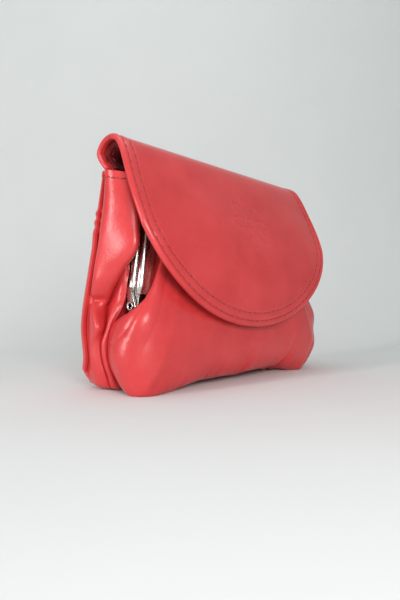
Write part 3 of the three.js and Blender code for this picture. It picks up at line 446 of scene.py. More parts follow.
def frame_point(k, inset, y):
    half = min(k, STATIONS - k)
    if half <= CORNER_END:
        turned_by = max(half - LEG_END, 0) / (CORNER_END - LEG_END)
        angle = mix(LEAN, math.pi / 2, turned_by)
        inward = np.array([math.cos(angle), -math.sin(angle)])
        spot = np.array([CORNER_X, CORNER_Z]) - CORNER * inward
        if half < LEG_END:
            foot = np.array([-FRAME_HALF + LUG_RISE * math.tan(LEAN), RIVET_Z + LUG_RISE])
            spot = mix(foot, spot, half / LEG_END)
    else:
        inward = np.array([0, -1])
        spot = np.array([mix(CORNER_X, 0, (half - CORNER_END) / (STATIONS / 2 - CORNER_END)), FRAME_TOP])
    x, z = spot + inward * inset
    return np.array([x if k <= STATIONS / 2 else -x, FRAME_Y + y, z])


def tuck_y(side):
    return side * (GAP / 2 + BAR_WIDTH - BAR_WALL - GAP - LEATHER / 2)


def length_of(path):
    return float(np.linalg.norm(np.diff(path, axis=0), axis=-1).sum())


clasp_line = [frame_point(k, 0, 0) for k in np.linspace(0, STATIONS, 97)]
print("clasp", round(length_of(clasp_line)), "mm from leg to leg")

# %% [markdown]
# ## Clasp pouch
#
# The pouch is two panels, each tucked into its bar at the top and sewn to the other round the sides
# and the bottom. A cloth simulation could drop the front panel into its bag shape, but would have to be
# steered to the folds of this one. So each line from the bar to the seam is one cubic curve, which
# keeps the panel smooth however fine the grid is.

# %% The seam round the pouch
SEAM = [(-51.5, 0, 25.1), (-54.5, 0, 22.5), (-56, 0, 16), (-55.2, 0, 9.2), (-52, 0, 6.4),
        (-26, 0, 6.2), (0, 0, 6.2)]
SEAM_Y = 4


def seam_y(layer):
    return SEAM_Y + (layer - 0.5) * (LEATHER + GAP)


def seam_place(k):
    half = min(k, STATIONS - k)
    part = half / (STATIONS / 2)
    spot = curve_point(SEAM, part)
    along = curve_point(SEAM, part + 0.004) - curve_point(SEAM, part - 0.004)
    out = np.array([along[2], 0, -along[0]])
    out /= np.linalg.norm(out)
    if k > STATIONS / 2:
        spot[0], out[0] = -spot[0], -out[0]
    return spot, out, half


left_seam = [curve_point(SEAM, p) for p in np.linspace(0, 1, 60)]
print("seam", round(2 * length_of(left_seam)), "mm round the pouch")

# %% One line of a panel, from its bar to the seam
def pouch_line(k, side, shares, layer, forward_top, forward_seam, bulge=0, spread=0, sag=0, foot=0):
    spot, out, half = seam_place(k)
    middle = ease((half - 3) / 6)
    corner = math.sin(math.pi * min(max((half - 4) / 6, 0), 1))
    start = frame_point(k, BAR_DEPTH + MOUTH, tuck_y(side))
    drop = mix(4, 11.8, middle)
    first = frame_point(k, BAR_DEPTH + MOUTH + drop, tuck_y(side) + side * mix(*forward_top, middle))
    end = np.array([spot[0], seam_y(layer), spot[2]])
    down = (sag + foot * corner) if out[2] < 0 else bulge
    sideways = out[0] * bulge + np.sign(spot[0]) * spread * corner
    push = np.array([sideways, side * mix(*forward_seam, middle), out[2] * down])
    line = bezier(start, first, end + push, end, shares)
    tucked = [frame_point(k, inset, tuck_y(side)) for inset in np.linspace(TUCK, BAR_DEPTH + MOUTH, 4)[:-1]]
    return np.concatenate([tucked, line])


# %% [markdown]
# The front panel swells forward and turns under into the seam. Between its two lobes the lower edge
# arches off the table, and the right lobe is drawn up a little. Leather gathers where a wide panel
# meets a short seam, so creases run up from the lower edge. A crease is a groove between two soft
# ridges, as deep as its place asks for, and fades towards its upper end.

# %% Creases and ridges on a grid
def away_from(points, a, b):
    along = np.clip(((points - a) @ (b - a)) / ((b - a) @ (b - a)), 0, 1)
    return along, np.linalg.norm(points - a - along[..., None] * (b - a), axis=-1)


def creased(grid, start, end, depth, width):
    along, away = away_from(grid[..., [0, 2]], np.array(start, float), np.array(end, float))
    dip = np.exp(-(away / width) ** 2) - 0.45 * np.exp(-((away - 2 * width) / width) ** 2)
    return -depth * (1 - 0.75 * along) * dip


def ridged(grid, points, height, width):
    points = np.array(points, float)
    nearest = np.min([away_from(grid, a, b)[1] for a, b in zip(points[:-1], points[1:])], axis=0)
    return height * np.exp(-(nearest / width) ** 2)


# %% Front panel as a smooth bag
shares = np.linspace(0, 1, 61)
pouch = np.array([pouch_line(k, -1, shares, layer=0, forward_top=(6, 10.8), forward_seam=(20, 29.4),
                             bulge=5.5, spread=7, sag=23.4, foot=9) for k in np.linspace(STATIONS, 0, 217)])
ARCH = [(-50, 0), (-40, 0.9), (-10, 1.2), (10, 2.0), (26, 2.9), (33, 1.0), (38, 0), (58, 0)]
RIGHT_LOBE_RISE = 7.2
x, y, z = pouch[..., 0], pouch[..., 1], pouch[..., 2]
arch = np.interp(x, *zip(*ARCH)) * ease((12 - z) / 12)
drawn_up = RIGHT_LOBE_RISE * ease((x - 40) / 14) * ease((20 - z) / 20)
pouch[..., 2] += arch * ease((-3 - y) / 5) + drawn_up * ease((2.5 - y) / 9)
print("front panel", round(length_of(pouch[len(pouch) // 2])), "mm deep in the middle")

# %% Creases of the front panel, each with its two ends, depth and width
CREASES = [((-2, 4), (0.5, 14), 1.0, 1.2), ((26.2, 3.4), (31.5, 15), 1.5, 1.4),
           ((-20, 1), (-17, 10), 0.45, 1.0), ((43, 3), (49, 15), 0.7, 1.2), ((-38, 1), (-37, 9), 0.4, 0.9),
           ((15, 1.5), (18, 9), 0.35, 0.9), ((-50, 3), (-45, 12), 0.5, 1.2), ((-7, 1.5), (-8, 7), 0.3, 0.8),
           ((37, 1), (39, 8), 0.35, 0.8)]
x, z = pouch[..., 0], pouch[..., 2]
lift = sum(creased(pouch, *crease) for crease in CREASES)
lift += 0.35 * np.sin(x / 9.0 + 0.6) * np.sin(z / 8.0 + 0.4 + x / 31) * ease((45 - z) / 20) * ease(z / 8)
lift = lift * ((pouch[..., 1] < 1) & (z < 40))
for side in (-1, 1):
    lift += ridged(pouch, [(side * 50, -17, 28.5), (side * 57, -4, 21.5), (side * 57.5, -3, 14)], 1.3, 4.5)
pouch = pouch + grid_normals(pouch) * lift[..., None]
print("deepest crease", round(-float(lift.min()), 2), "mm, highest swell", round(float(lift.max()), 2), "mm")

# %% [markdown]
# When the clasp opens, the front panel's top goes with the front bar while its foot stays. So its two
# bodies and a stretch of its height are given with it, though the piece only has its place put into its mesh.

# %% Front panel in leather
BEND_HEIGHTS = (26, 52)
OPENING = ("purse_body", "front_frame_half", *((0, FRAME_Y * MM, z * MM) for z in BEND_HEIGHTS))
front_panel = sheet("pouch_front_leather", pouch, LEATHER, on_floor=True)
finished(front_panel, OPENING, nappa, "red_leather", "front_panel")

# %% Rear panel of the pouch
shares = np.linspace(0, 1, 31)
clasp_back = np.array([pouch_line(k, 1, shares, layer=1, forward_top=(2.2, 0.3), forward_seam=(2.2, 0))
                       for k in np.linspace(0, STATIONS, 97)])
rear_panel = sheet("pouch_rear_leather", clasp_back, LEATHER)
# The rear panel gets the darker leather: painted shade.
finished(rear_panel, "purse_body", nappa_painted_shade, "red_leather", "clasp_back_panel")

# %% [markdown]
# ## Linings of the pouch
#
# A thin woven cloth lies inside each leather panel. It could be draped by a simulation, but it follows
# the leather at a small distance, so the same grids are used again, moved inwards and cut to the
# middle of the pouch.

# %% Pouch linings
def cloth(name, grid, body, node, rests_on):
    piece = finished(sheet(name, grid, CLOTH), body, lining_cloth, "lining_cloth", node)


def inside(grid):
    return grid - grid_normals(grid) * (LEATHER / 2 + PLY_GAP + CLOTH / 2)


front_cloth, rear_cloth = inside(pouch)[72:-72, 14:46], inside(clasp_back)[32:-32, 8:29]
cloth("pouch_front_cloth", front_cloth, OPENING, "clasp_front_lining", ["front_clasp_channel"])
cloth("pouch_rear_cloth", rear_cloth, "purse_body", "clasp_rear_lining", ["rear_clasp_channel"])

# %% [markdown]
# ## Back panel
#
# The back panel runs from the hem down the back, under the rear lobe and up to the seam. Its side edges
# are rolled over the gussets, and three small bumps on each roll show where the zip's end is sewn in.
# The panel could be a bent plane with a bevel, but a roll needs its own radius at each height, so every
# point is worked out: one curve gives the edge from the hem to the seam, and a quarter turn is added
# near the sides.

# %% The edge curve and the rolled sides
HEM_Z, HEM_Y, ZIP_Z = 77, 11.6, 63
BACK_HALF, BACK_TOP_HALF, BACK_FACE = 58.6, 54.5, 19.0
BACK = [(BACK_TOP_HALF, HEM_Y, HEM_Z),
        (mix(BACK_TOP_HALF, BACK_HALF, 0.3), mix(HEM_Y, BACK_FACE, 0.27), 62),
        (mix(BACK_TOP_HALF, BACK_HALF, 0.7), mix(HEM_Y, BACK_FACE, 0.58), 45),
        (BACK_HALF, BACK_FACE, 23), (BACK_HALF - 0.3, BACK_FACE - 1, 11),
        (BACK_HALF - 0.7, BACK_FACE - 0.2, 6.5), (56.4, 16.6, 2.5), (53.5, 11.7, -0.6),
        (52, mix(12.5, seam_y(3), 0.8), 3.1), (51, seam_y(3), 6.2)]
FOOT_PART = 7 / 9
ROLL_FROM, ROLL = 0.955, 3.2
ZIP_END_BUMPS, BUMP_HEIGHT = (62.3, 59.1, 55.8), 0.55


def back_point(share, part):
    edge = curve_point(BACK, part)
    along = curve_point(BACK, part + 0.002) - curve_point(BACK, part - 0.002)
    inward = unit(np.array([0, along[2], -along[1]]))
    turn = max(0, (abs(share) - ROLL_FROM) / (1 - ROLL_FROM)) * math.pi / 2
    wide = min(abs(share), ROLL_FROM) + (1 - ROLL_FROM) * math.sin(turn)
    rolled = ROLL * mix(0.6, 1, ease((72 - edge[2]) / 25)) * mix(0.4, 1, ease(edge[2] / 6))
    curl = 1.5 * max(0, (abs(share) - 0.8) / 0.2) ** 2 + rolled * (1 - math.cos(turn))
    out = np.array([math.copysign(math.sin(turn), share), 0, 0]) - inward * math.cos(turn)
    bumps = sum(math.exp(-(edge[2] - z) ** 2) for z in ZIP_END_BUMPS)
    bump = BUMP_HEIGHT * bumps * ease((abs(share) - 0.93) / 0.03)
    return np.array([math.copysign(wide, share) * edge[0], edge[1], edge[2]]) + inward * curl + out * bump


def back_part(z):
    parts = np.linspace(0, FOOT_PART, 800)
    heights = [curve_point(BACK, p)[2] for p in parts]
    return float(np.interp(-z, -np.array(heights), parts))


back_edge = [curve_point(BACK, p) for p in np.linspace(0, 1, 200)]
print("back panel", round(length_of(back_edge)), "mm from hem to seam")

# %% [markdown]
# The zip needs a window in the panel. Leather round it is turned in, which makes a soft lip, so the
# grid is finer there. Its columns are shares of the half width, and its rows are parts of the curve.

# %% Grid with a window for the zip
WINDOW_HALF, WINDOW_RISE = 40, 3.6
PER_SHARE = 56
window_share = WINDOW_HALF / curve_point(BACK, back_part(ZIP_Z))[0]
top_part, low_part = back_part(ZIP_Z + WINDOW_RISE), back_part(ZIP_Z - WINDOW_RISE)
per_part = 2 * WINDOW_RISE / (low_part - top_part)
lips = np.array([0.35, 0.8, 1.3, 2.0, 2.8, 3.8])
half_shares = np.concatenate([np.linspace(0, window_share, 26), window_share + lips / PER_SHARE,
                              np.linspace(0.8, 0.94, 7), np.linspace(ROLL_FROM, 1, 11)])
back_shares = np.concatenate([-half_shares[:0:-1], half_shares])
back_parts = np.concatenate([np.linspace(0, top_part - 0.06, 10), (top_part - lips / per_part)[::-1],
                             np.linspace(top_part, low_part, 13), low_part + lips / per_part,
                             np.linspace(low_part + 0.06, 1, 70)])
back = np.array([[back_point(s, p) for p in back_parts] for s in back_shares])
within_x = np.abs(back_shares[:-1] + back_shares[1:]) / 2 < window_share
middle_part = (back_parts[:-1] + back_parts[1:]) / 2
within_z = (middle_part > top_part) & (middle_part < low_part)
window = within_x[:, None] & within_z[None, :]
print("window takes out", int(window.sum()), "of", window.size, "squares")

# %% Lip, hem and creases of the back panel
HEM_FOLD_Z, BACK_HEM_ROW = 72.2, 74.4
BACK_CREASES = [((-30, 2), (-33, 14), 0.5, 1.2), ((12, 2), (10, 12), 0.4, 1.1), ((38, 2), (43, 15), 0.5, 1.2)]
beyond_x = np.maximum(np.abs(back_shares) - window_share, 0)[:, None] * PER_SHARE
beyond_z = np.maximum(np.maximum(top_part - back_parts, back_parts - low_part), 0)[None, :] * per_part
beyond = np.hypot(beyond_x, beyond_z)
x, z = back[..., 0], back[..., 2]
lift = 0.35 * np.exp(-((beyond - 0.8) / 0.7) ** 2) - 0.22 * np.exp(-((beyond - 2.0) / 0.35) ** 2)
lift += 0.3 * ease((z - HEM_FOLD_Z) / 0.8) - 0.25 * np.exp(-((z - BACK_HEM_ROW) / 0.4) ** 2)
lift += 0.3 * np.sin(x / 13 + 1.2) * np.sin(z / 11) * ease((50 - z) / 15) * ease(z / 10)
for crease in BACK_CREASES:
    lift += creased(back, *crease) * (back[..., 1] > 9)
back = back + grid_normals(back) * lift[..., None]
back_panel = sheet("back_leather", back, LEATHER, window, on_floor=True)
finished(back_panel, "purse_body", nappa, "red_leather", "back_panel")

# %% [markdown]
# ## Divider
#
# The divider is the front wall of the bellows pocket, behind the pouch. It is nearly flat and hardly
# seen, so one curve from its top edge to the seam is stretched straight across.

# %% Divider
DIVIDER = [(49.5, 4.8, 75), (49.5, 4.8, 60), (49.5, 5.4, 45), (49.5, 7.2, 26), (50, seam_y(2), 6.2)]
divider_line = np.array([curve_point(DIVIDER, p) for p in np.linspace(0, 1, 60)])
across = np.linspace(-1, 1, 61)
divider = np.tile(divider_line, (len(across), 1, 1))
divider[..., 0] = np.outer(across, divider_line[:, 0])
divider_panel = sheet("divider_leather", divider, LEATHER)
# The divider gets the darker leather: painted shade.
finished(divider_panel, "purse_body", nappa_painted_shade, "red_leather", "divider_panel")

# %% [markdown]
# ## Gussets
#
# A gusset is a wide strip folded like a bellows, so that the pocket can open. From the clasp's rear leg
# a wing runs back to a valley, then the leaf swells out to a ridge and runs back to a groove beside
# the rolled edge. High up the leaf covers the valley, low down the wing becomes a round ridge beside the
# pouch. The folds change too much with height for modifiers, so they are drawn level by level. Each row
# below is one level: its height, then the places of the front end, the wing, the valley, the leaf's
# front and its ridge. Use has pressed dents into the leaf a third of the way up.

# %% Levels of the left gusset
LEVELS = [(76.3, (-49.8, 4.6), (-50.6, 1.4), (-51.4, -1.6), (-52.7, -2.4), (-56.5, 1.6)),
          (66.0, (-49.4, 3.2), (-50.0, -2.2), (-50.9, -4.8), (-52.5, -5.4), (-57.2, 0.5)),
          (57.0, (-49.2, 2.6), (-49.9, -2.8), (-50.7, -5.2), (-52.5, -6.2), (-57.8, 1.3)),
          (50.0, (-49.0, 2.4), (-49.9, -1.0), (-50.6, -4.4), (-53.2, -6.7), (-58.2, 3.1)),
          (46.0, (-48.9, 2.2), (-49.9, 1.2), (-50.4, -0.6), (-53.8, -4.6), (-58.5, 4.8)),
          (42.0, (-49.3, 1.8), (-50.4, 1.8), (-51.2, 2.8), (-54.2, -0.6), (-58.7, 6.2)),
          (38.0, (-49.9, 1.5), (-51.0, 2.6), (-51.6, 5.6), (-54.4, 2.8), (-58.8, 7.2)),
          (34.0, (-50.4, 1.6), (-51.7, 3.6), (-51.6, 8.4), (-54.6, 5.8), (-58.2, 9.2)),
          (31.5, (-50.9, 1.7), (-52.2, 4.0), (-51.6, 9.8), (-54.2, 7.8), (-56.5, 11.4)),
          (29.3, (-51.4, 2.2), (-53.2, 4.1), (-52.0, 10.2), (-55.0, 8.8), (-57.9, 10.2)),
          (26.0, (-52.8, 3.4), (-54.6, 4.2), (-52.6, 9.4), (-56.0, 7.8), (-58.7, 8.2)),
          (22.0, (-54.9, 4.5), (-55.9, 4.3), (-54.0, 8.4), (-57.3, 6.2), (-59.0, 6.2)),
          (19.5, (-55.7, 4.5), (-56.9, 4.3), (-54.4, 9.0), (-57.0, 7.4), (-58.7, 7.6)),
          (16.5, (-56.1, 4.5), (-57.6, 4.5), (-54.9, 9.4), (-56.9, 8.2), (-58.2, 10.0)),
          (11.0, (-55.6, 4.4), (-57.1, 4.2), (-54.8, 9.0), (-56.6, 7.8), (-58.0, 10.4)),
          (5.5, (-53.2, 3.6), (-55.2, 3.9), (-53.8, 7.6), (-55.5, 6.8), (-56.8, 10.2)),
          (1.6, (-51.6, 3.4), (-53.4, 4.2), (-52.9, 6.8), (-53.9, 6.8), (-55.0, 9.8)),
          (0.7, (-48.0, 4.4), (-48.0, 5.2), (-48.0, 7.0), (-48.0, 8.0), (-48.0, 9.8))]
fold_lines = [[(*level[i], level[0]) for level in LEVELS] for i in (1, 2, 3, 4, 5)]
print("gusset drawn from", len(LEVELS), "levels and", len(fold_lines), "fold lines")

# %% Gussets
HEM_SLOPE = np.array([2.2, 2.2, 2.2, 2.0, 1.2, 0.5, 0, 0])
GUSSET_FOLD_Z, GUSSET_HEM_ROW = 72.6, 73.9
gusset, heights = [], []
for down in np.concatenate([np.linspace(0, 0.02, 4), np.linspace(0.03, 1, 136)]):
    spots = [curve_point(line, down) for line in fold_lines]
    ridge_x, ridge_y, z = spots[4]
    rolled_edge = back_point(-1, back_part(z))
    x = mix(-50, rolled_edge[0], ease((z - 0.8) / 1.5))
    groove_y = rolled_edge[1] - 1.4
    swell = mix(-0.1, 0.5, ease((z - 38) / 20))
    spots += [np.array([ridge_x - swell, mix(ridge_y, groove_y, 0.45), z]), np.array([x + 1.0, groove_y, z]),
              np.array([x + 1.4, rolled_edge[1] + 1.2, z])]
    drops = ease((z - 46) / 30) * HEM_SLOPE
    spots = [spot - (0, 0, drop) for spot, drop in zip(spots, drops)]
    gusset.append([curve_point(spots, s) for s in np.linspace(0, 1, 78)])
    heights.append(z)
gusset = np.array(gusset).transpose(1, 0, 2)
heights = np.array(heights)
lift = 0.35 * ease((heights - GUSSET_FOLD_Z) / 0.7) - 0.3 * np.exp(-((heights - GUSSET_HEM_ROW) / 0.35) ** 2)
gusset = gusset + grid_normals(gusset) * lift[None, :, None]
right_grid = (gusset * (-1, 1, 1))[::-1]
for side, grid in (("left", gusset), ("right", right_grid)):
    gusset_sheet = sheet(side + "_gusset_leather", grid, LEATHER, on_floor=True)
    finished(gusset_sheet, "purse_body", nappa, "red_leather", side + "_gusset")

# %% [markdown]
# ## Flap
#
# The flap is one piece of leather sewn inside the hem. It rises in an open loop and falls over the
# front to a rounded end. Laid flat it is a straight strip with a round end. So it is drawn flat first,
# with one number along it from the hem and another across, and a curve then carries it round the loop.
# A Curve modifier could bend a flat plate as well, but its stitches and stamp are easier to place when
# both shapes are formulas.

# %% The curve that the flap follows
FLAP_CURVE = [(0, 10.3, 77.6), (0, 12.3, 80.5), (0, 12.8, 84), (0, 9.52, 87.44), (0, 4.6, 88.3),
              (0, -0.2, 86), (0, -8.096, 71.4875), (0, -15.24, 54.524), (0, -18.436, 40.0115), (0, -19, 21.5)]
flap_line = np.array([curve_point(FLAP_CURVE, p) for p in np.linspace(0, 1, 1500)])[:, 1:]
travel = np.concatenate([[0], np.cumsum(np.linalg.norm(np.diff(flap_line, axis=0), axis=1))])
FLAP_LENGTH = travel[-1]
# From this point on the line only falls, so that each height has one place on it.
FRONT_PART = 600


def on_flap(x, along, height):
    y, z = (np.interp(along, travel, flap_line[:, i]) for i in (0, 1))
    ahead, behind = np.minimum(along + 0.2, FLAP_LENGTH), np.maximum(along - 0.2, 0)
    run_y, run_z = (np.interp(ahead, travel, flap_line[:, i]) - np.interp(behind, travel, flap_line[:, i])
                    for i in (0, 1))
    run = np.hypot(run_y, run_z)
    return np.stack([x, y + height * run_z / run, z - height * run_y / run], -1)


def along_flap(z):
    return float(np.interp(-z, -flap_line[FRONT_PART:, 1], travel[FRONT_PART:]))


print("flap", round(float(FLAP_LENGTH), 1), "mm long when flat")

# %% The flap laid flat
FLAP_HALF, FLAP_SEAM_HALF, FLAP_STRAIGHT = 58, 55, 50
FLAP_TURN = math.radians(80)
END_ROUNDNESS = 1.1


def flap_width(along):
    along = np.asarray(along)
    drawn_in = 1.8 * ease((7 - along) / 7) + 0.9 * np.clip((along - 40) / 16, 0, 1) ** 2
    return FLAP_HALF * mix(FLAP_SEAM_HALF / FLAP_HALF, 1, ease(along / FLAP_STRAIGHT)) - drawn_in


def flap_end(angle, margin=0):
    return FLAP_STRAIGHT + (FLAP_LENGTH - margin - FLAP_STRAIGHT) * np.cos(angle) ** END_ROUNDNESS


side_run = np.linspace(0, float(flap_end(FLAP_TURN)), 120)
side_x = flap_width(side_run)
turn = np.linspace(-FLAP_TURN, FLAP_TURN, 400)
end_x = flap_width(flap_end(turn)) * np.sin(turn) / math.sin(FLAP_TURN)
outline = np.concatenate([np.stack([-side_x, side_run], -1)[:-1], np.stack([end_x, flap_end(turn)], -1),
                          np.stack([side_x, side_run], -1)[-2::-1]])
print("flap outline", round(length_of(outline)), "mm long and", round(2 * float(side_x.max())), "mm wide")

# %% Distance from the flap's edge
STRETCH = 80


def from_edge(x, along):
    spots = np.stack([x, along], -1).reshape(-1, 1, 2)
    nearest = np.full(len(spots), 1e9)
    for first in range(0, len(outline) - 1, STRETCH):
        a, b = outline[None, :-1][:, first:first + STRETCH], outline[None, 1:][:, first:first + STRETCH]
        reach = np.clip(((spots - a) * (b - a)).sum(-1) / ((b - a) ** 2).sum(-1), 0, 1)
        away = np.linalg.norm(spots - a - reach[..., None] * (b - a), axis=-1)
        nearest = np.minimum(nearest, away.min(1))
    return nearest.reshape(np.shape(x))


# %% [markdown]
# The edge is turned over, which makes a round rim, and two rows of stitches pull shallow grooves with a
# raised strip between them. All of that depends only on the distance to the edge, so one function of
# the distance gives the outer face and another gives the inner face. A rosette of plain petals is
# pressed into the upper right of the flap with a heated stamp.

# %% Rim, grooves and stamp as formulas
RIM, RIM_SINK, ROW_1, ROW_2 = 0.95, 0.45, 2.3, 5.3
ROSETTE_X, ROSETTE_ALONG = 3.0, along_flap(63.0)
PETALS, STAMP_DEPTH = 8, 0.34


def groove(d, at, width):
    return np.exp(-((d - at) / width) ** 2)


def rim_round(d):
    return np.sqrt(np.clip(RIM ** 2 - np.clip(RIM - d, 0, RIM) ** 2, 0, None))


def flap_face(d):
    puff = 0.24 * groove(d, 1.2, 0.6) + 0.2 * groove(d, 3.8, 0.8)
    pulled = 0.38 * groove(d, ROW_1, 0.4) + 0.36 * groove(d, ROW_2, 0.45)
    return rim_round(d) - RIM_SINK + (puff - pulled) * ease(d / 0.8)


def flap_underside(d):
    return -rim_round(d) - RIM_SINK + 0.9 * ease((d - 2.3) / 0.7)


def stamped(x, along):
    u, v = x - ROSETTE_X, along - ROSETTE_ALONG
    radius, angle = np.hypot(u, v), np.arctan2(v, u)
    petal = 3.2 + 8.3 * np.abs(np.cos(PETALS / 2 * angle)) ** 0.6
    lines = groove(radius, petal, 0.55) * (radius > 2.6) + groove(radius, 2.4, 0.45)
    return -STAMP_DEPTH * np.clip(lines, 0, 1)


print("rosette", round(ROSETTE_ALONG, 1), "mm from the hem, along the leather")

# %% Flat grid, fine at the rim and under the stamp
rim_steps = np.array([0, 0.08, 0.22, 0.42, 0.66, 0.95, 1.3, 1.7, 2.0, 2.3, 2.6, 3.0, 3.6, 4.2, 4.7, 5.0,
                      5.3, 5.6, 6.0, 6.6, 7.4])
rim_angles = np.arcsin(np.sin(FLAP_TURN) * (1 - rim_steps / FLAP_HALF))
fine_angles = np.arcsin((ROSETTE_X + np.linspace(-12.5, 12.5, 64)) / FLAP_HALF * math.sin(FLAP_TURN))
angles = np.concatenate([-rim_angles, np.linspace(-rim_angles[-1], fine_angles[0], 26)[1:-1], fine_angles,
                         np.linspace(fine_angles[-1], rim_angles[-1], 26)[1:-1], rim_angles[::-1]])
slope = np.gradient(flap_end(turn), turn) / np.gradient(end_x, turn)
stretch = np.sqrt(1 + np.interp(angles, turn, slope) ** 2)
marks = np.array([0, 34, ROSETTE_ALONG - 14, ROSETTE_ALONG + 14, FLAP_LENGTH - rim_steps[-1]])
rows = np.interp(np.linspace(0, 1, 128), [0, 0.28, 0.32, 0.85, 1], marks / marks[-1])
flat = []
for angle, factor in zip(angles, stretch):
    rim_rows = flap_end(angle) - rim_steps[::-1] * factor
    along = np.concatenate([rows[:-1] * rim_rows[0], rim_rows])
    flat.append(np.stack([flap_width(along) * math.sin(angle) / math.sin(FLAP_TURN), along], -1))
flat = np.array(flat)
print("flat grid of", len(flat), "by", len(flat[0]), "points")

# %% Flap leather
x, along = flat[..., 0], flat[..., 1]
edge = from_edge(x, along)
wavy = 0.28 * np.sin(x / 11 + 0.5) * np.sin(along / 13 + 1.1) * ease((edge - 6) / 10) * ease((along - 32) / 10)
face = on_flap(x, along, flap_face(edge) + stamped(x, along) + wavy)
underside = on_flap(x, along, flap_underside(edge) + wavy)
flap_outer = shell("flap_leather", face[::-1], underside[::-1])
finished(flap_outer, "flap", nappa, "red_leather", "flap_outer")

# %% [markdown]
# The flap is lined with soft suede, which shows as the fuzzy dark wall of the loop and when the flap
# stands open. It is a second padded sheet on the same curve, deeper by its own thickness. It stops
# inside the rim and is pressed down where its own stitches hold it.

# %% Flap lining
LINING_MARGIN, LINING_DEPTH, LINING_ROW = 3.2, 1.8, 2.1
lining_angles = np.concatenate([np.linspace(-FLAP_TURN, -1.25, 12), np.linspace(-1.22, 1.22, 60),
                                np.linspace(1.25, FLAP_TURN, 12)])
lining_rows = np.concatenate([np.linspace(0, 0.96, 90), 1 - np.array([0.03, 0.022, 0.015, 0.009, 0.004, 0])])
along = np.outer(flap_end(lining_angles, LINING_MARGIN), lining_rows)
narrower = (FLAP_HALF - LINING_MARGIN) / FLAP_HALF
x = flap_width(along) * narrower * np.sin(lining_angles)[:, None] / math.sin(FLAP_TURN)
inner_edge = np.clip(from_edge(x, along) - LINING_MARGIN, 0, None)
pucker = 0.25 * groove(inner_edge, LINING_ROW, 0.5)
soft_edge = 0.35 * groove(inner_edge, 0, 0.35)
lining_top = on_flap(x, along, -LINING_DEPTH + SUEDE / 2 - soft_edge * 0.3)
lining_under = on_flap(x, along, -LINING_DEPTH - SUEDE / 2 + pucker + soft_edge)
flap_lining = shell("flap_suede_lining", lining_top[::-1], lining_under[::-1])
finished(flap_lining, "flap", suede, "suede", "flap_lining")

# %% [markdown]
# The flap's lower end goes inside the hem, where it is sewn down. A hard edge would tear open there when
# the flap turns, so a short strip joins the two: its foot lies in the hem and its top on the loop. Its
# two bodies are given with it, though the piece only has its place put into its mesh.

# %% Flap root
ROOT_HALF, ROOT_Y, ROOT_BEND = 52.4, 10.3, (75.5, 79.5)
in_hem, on_loop = np.linspace(71, 77, 7), np.linspace(0.3, 3.4, 7)


def root_face(shift, height):
    lines = []
    for x in np.linspace(ROOT_HALF, -ROOT_HALF, 61):
        foot = [np.array([x, ROOT_Y + shift, z]) for z in in_hem]
        lines.append(foot + [on_flap(x, along, height) for along in on_loop])
    return np.array(lines)


flap_root = shell("flap_root_leather", root_face(0.5, 0.56), root_face(-1.4, -1.46))
root_bend = ("purse_body", "flap", *((0, ROOT_Y * MM, z * MM) for z in ROOT_BEND))
finished(flap_root, root_bend, nappa, "red_leather")

# %% [markdown]
# ## Stitches
#
# A lockstitch shows as short slanted lengths of thread, each sinking into a needle hole at both ends. A
# bump pattern could fake them, but real stitches catch the light along their tops. So one stitch is
# modelled from a stretched sphere with its ends bent down and one hole from a flat cone, and both are
# copied along each seam.

# %% One stitch and one needle hole
def taken(piece):
    points = np.array([v.co for v in piece.data.vertices])
    faces = [list(face.vertices) for face in piece.data.polygons]
    focus(piece)
    bpy.ops.object.delete()
    return points, faces


STITCH_HALF, STITCH_RISE, STITCH_SINK = 1.25, 0.12, 0.3
bpy.ops.object.select_all(action="DESELECT")
bpy.ops.mesh.primitive_uv_sphere_add(segments=8, ring_count=6, radius=1, rotation=(0, math.pi / 2, 0),
                                     scale=(0.28, 0.33, STITCH_HALF))
stitch_points, stitch_faces = taken(settled(active_as("one_stitch")))
stitch_points[:, 2] += STITCH_RISE - STITCH_SINK * (stitch_points[:, 0] / STITCH_HALF) ** 2
bpy.ops.mesh.primitive_cone_add(vertices=8, radius1=0.42, radius2=0.2, depth=0.12)
hole_points, hole_faces = taken(active_as("one_needle_hole"))
print("a stitch has", len(stitch_faces), "faces and a hole", len(hole_faces))

# %% Copies of a small shape, each turned its own way
def copies(name, points, faces, spots, along, out):
    frames = np.stack([along, np.cross(out, along), out], 1)
    every = spots[:, None] + np.einsum("pa,sax->spx", points, frames)
    rings = [[v + len(points) * i for v in face] for i in range(len(spots)) for face in faces]
    mesh = bpy.data.meshes.new(name)
    mesh.from_pydata((every.reshape(-1, 3) * MM).tolist(), [], rings)
    piece = bpy.data.objects.new(name, mesh)
    bpy.context.collection.objects.link(piece)
    smooth_shaded(piece, 60)
    return piece


# %% A seam along a path
STITCH_PITCH, STITCH_SLANT = 3.2, 6


def seam(name, path, out, body, pitch=STITCH_PITCH):
    steps = np.concatenate([[0], np.cumsum(np.linalg.norm(np.diff(path, axis=0), axis=1))])
    count = int(steps[-1] / pitch)
    marks = (np.arange(count) + 0.5) * steps[-1] / count
    ends = np.concatenate([marks - pitch / 2, [steps[-1] - 0.01]])

    def at(where, values):
        return np.stack([np.interp(where, steps, values[:, i]) for i in range(3)], -1)

    outs = unit(at(marks, out))
    along = unit(at(marks + 0.3, path) - at(marks - 0.3, path))
    along = unit(along - outs * (along * outs).sum(-1, keepdims=True))
    lean = np.radians(STITCH_SLANT + 2.5 * np.sin(np.arange(count) * 2.4))[:, None]
    slanted = along * np.cos(lean) + np.cross(outs, along) * np.sin(lean)
    stitches = copies(name + "_thread", stitch_points, stitch_faces, at(marks, path), slanted, outs)
    finished(stitches, body, thread, "red_leather")
    hole_outs = unit(at(ends, out))
    across = np.cross(at(ends + 0.3, path) - at(ends - 0.3, path) + 1e-9, hole_outs)
    hole_along = unit(np.cross(hole_outs, across))
    holes = copies(name + "_holes", hole_points, hole_faces, at(ends, path), hole_along, hole_outs)
    finished(holes, body, pricks, "red_leather")


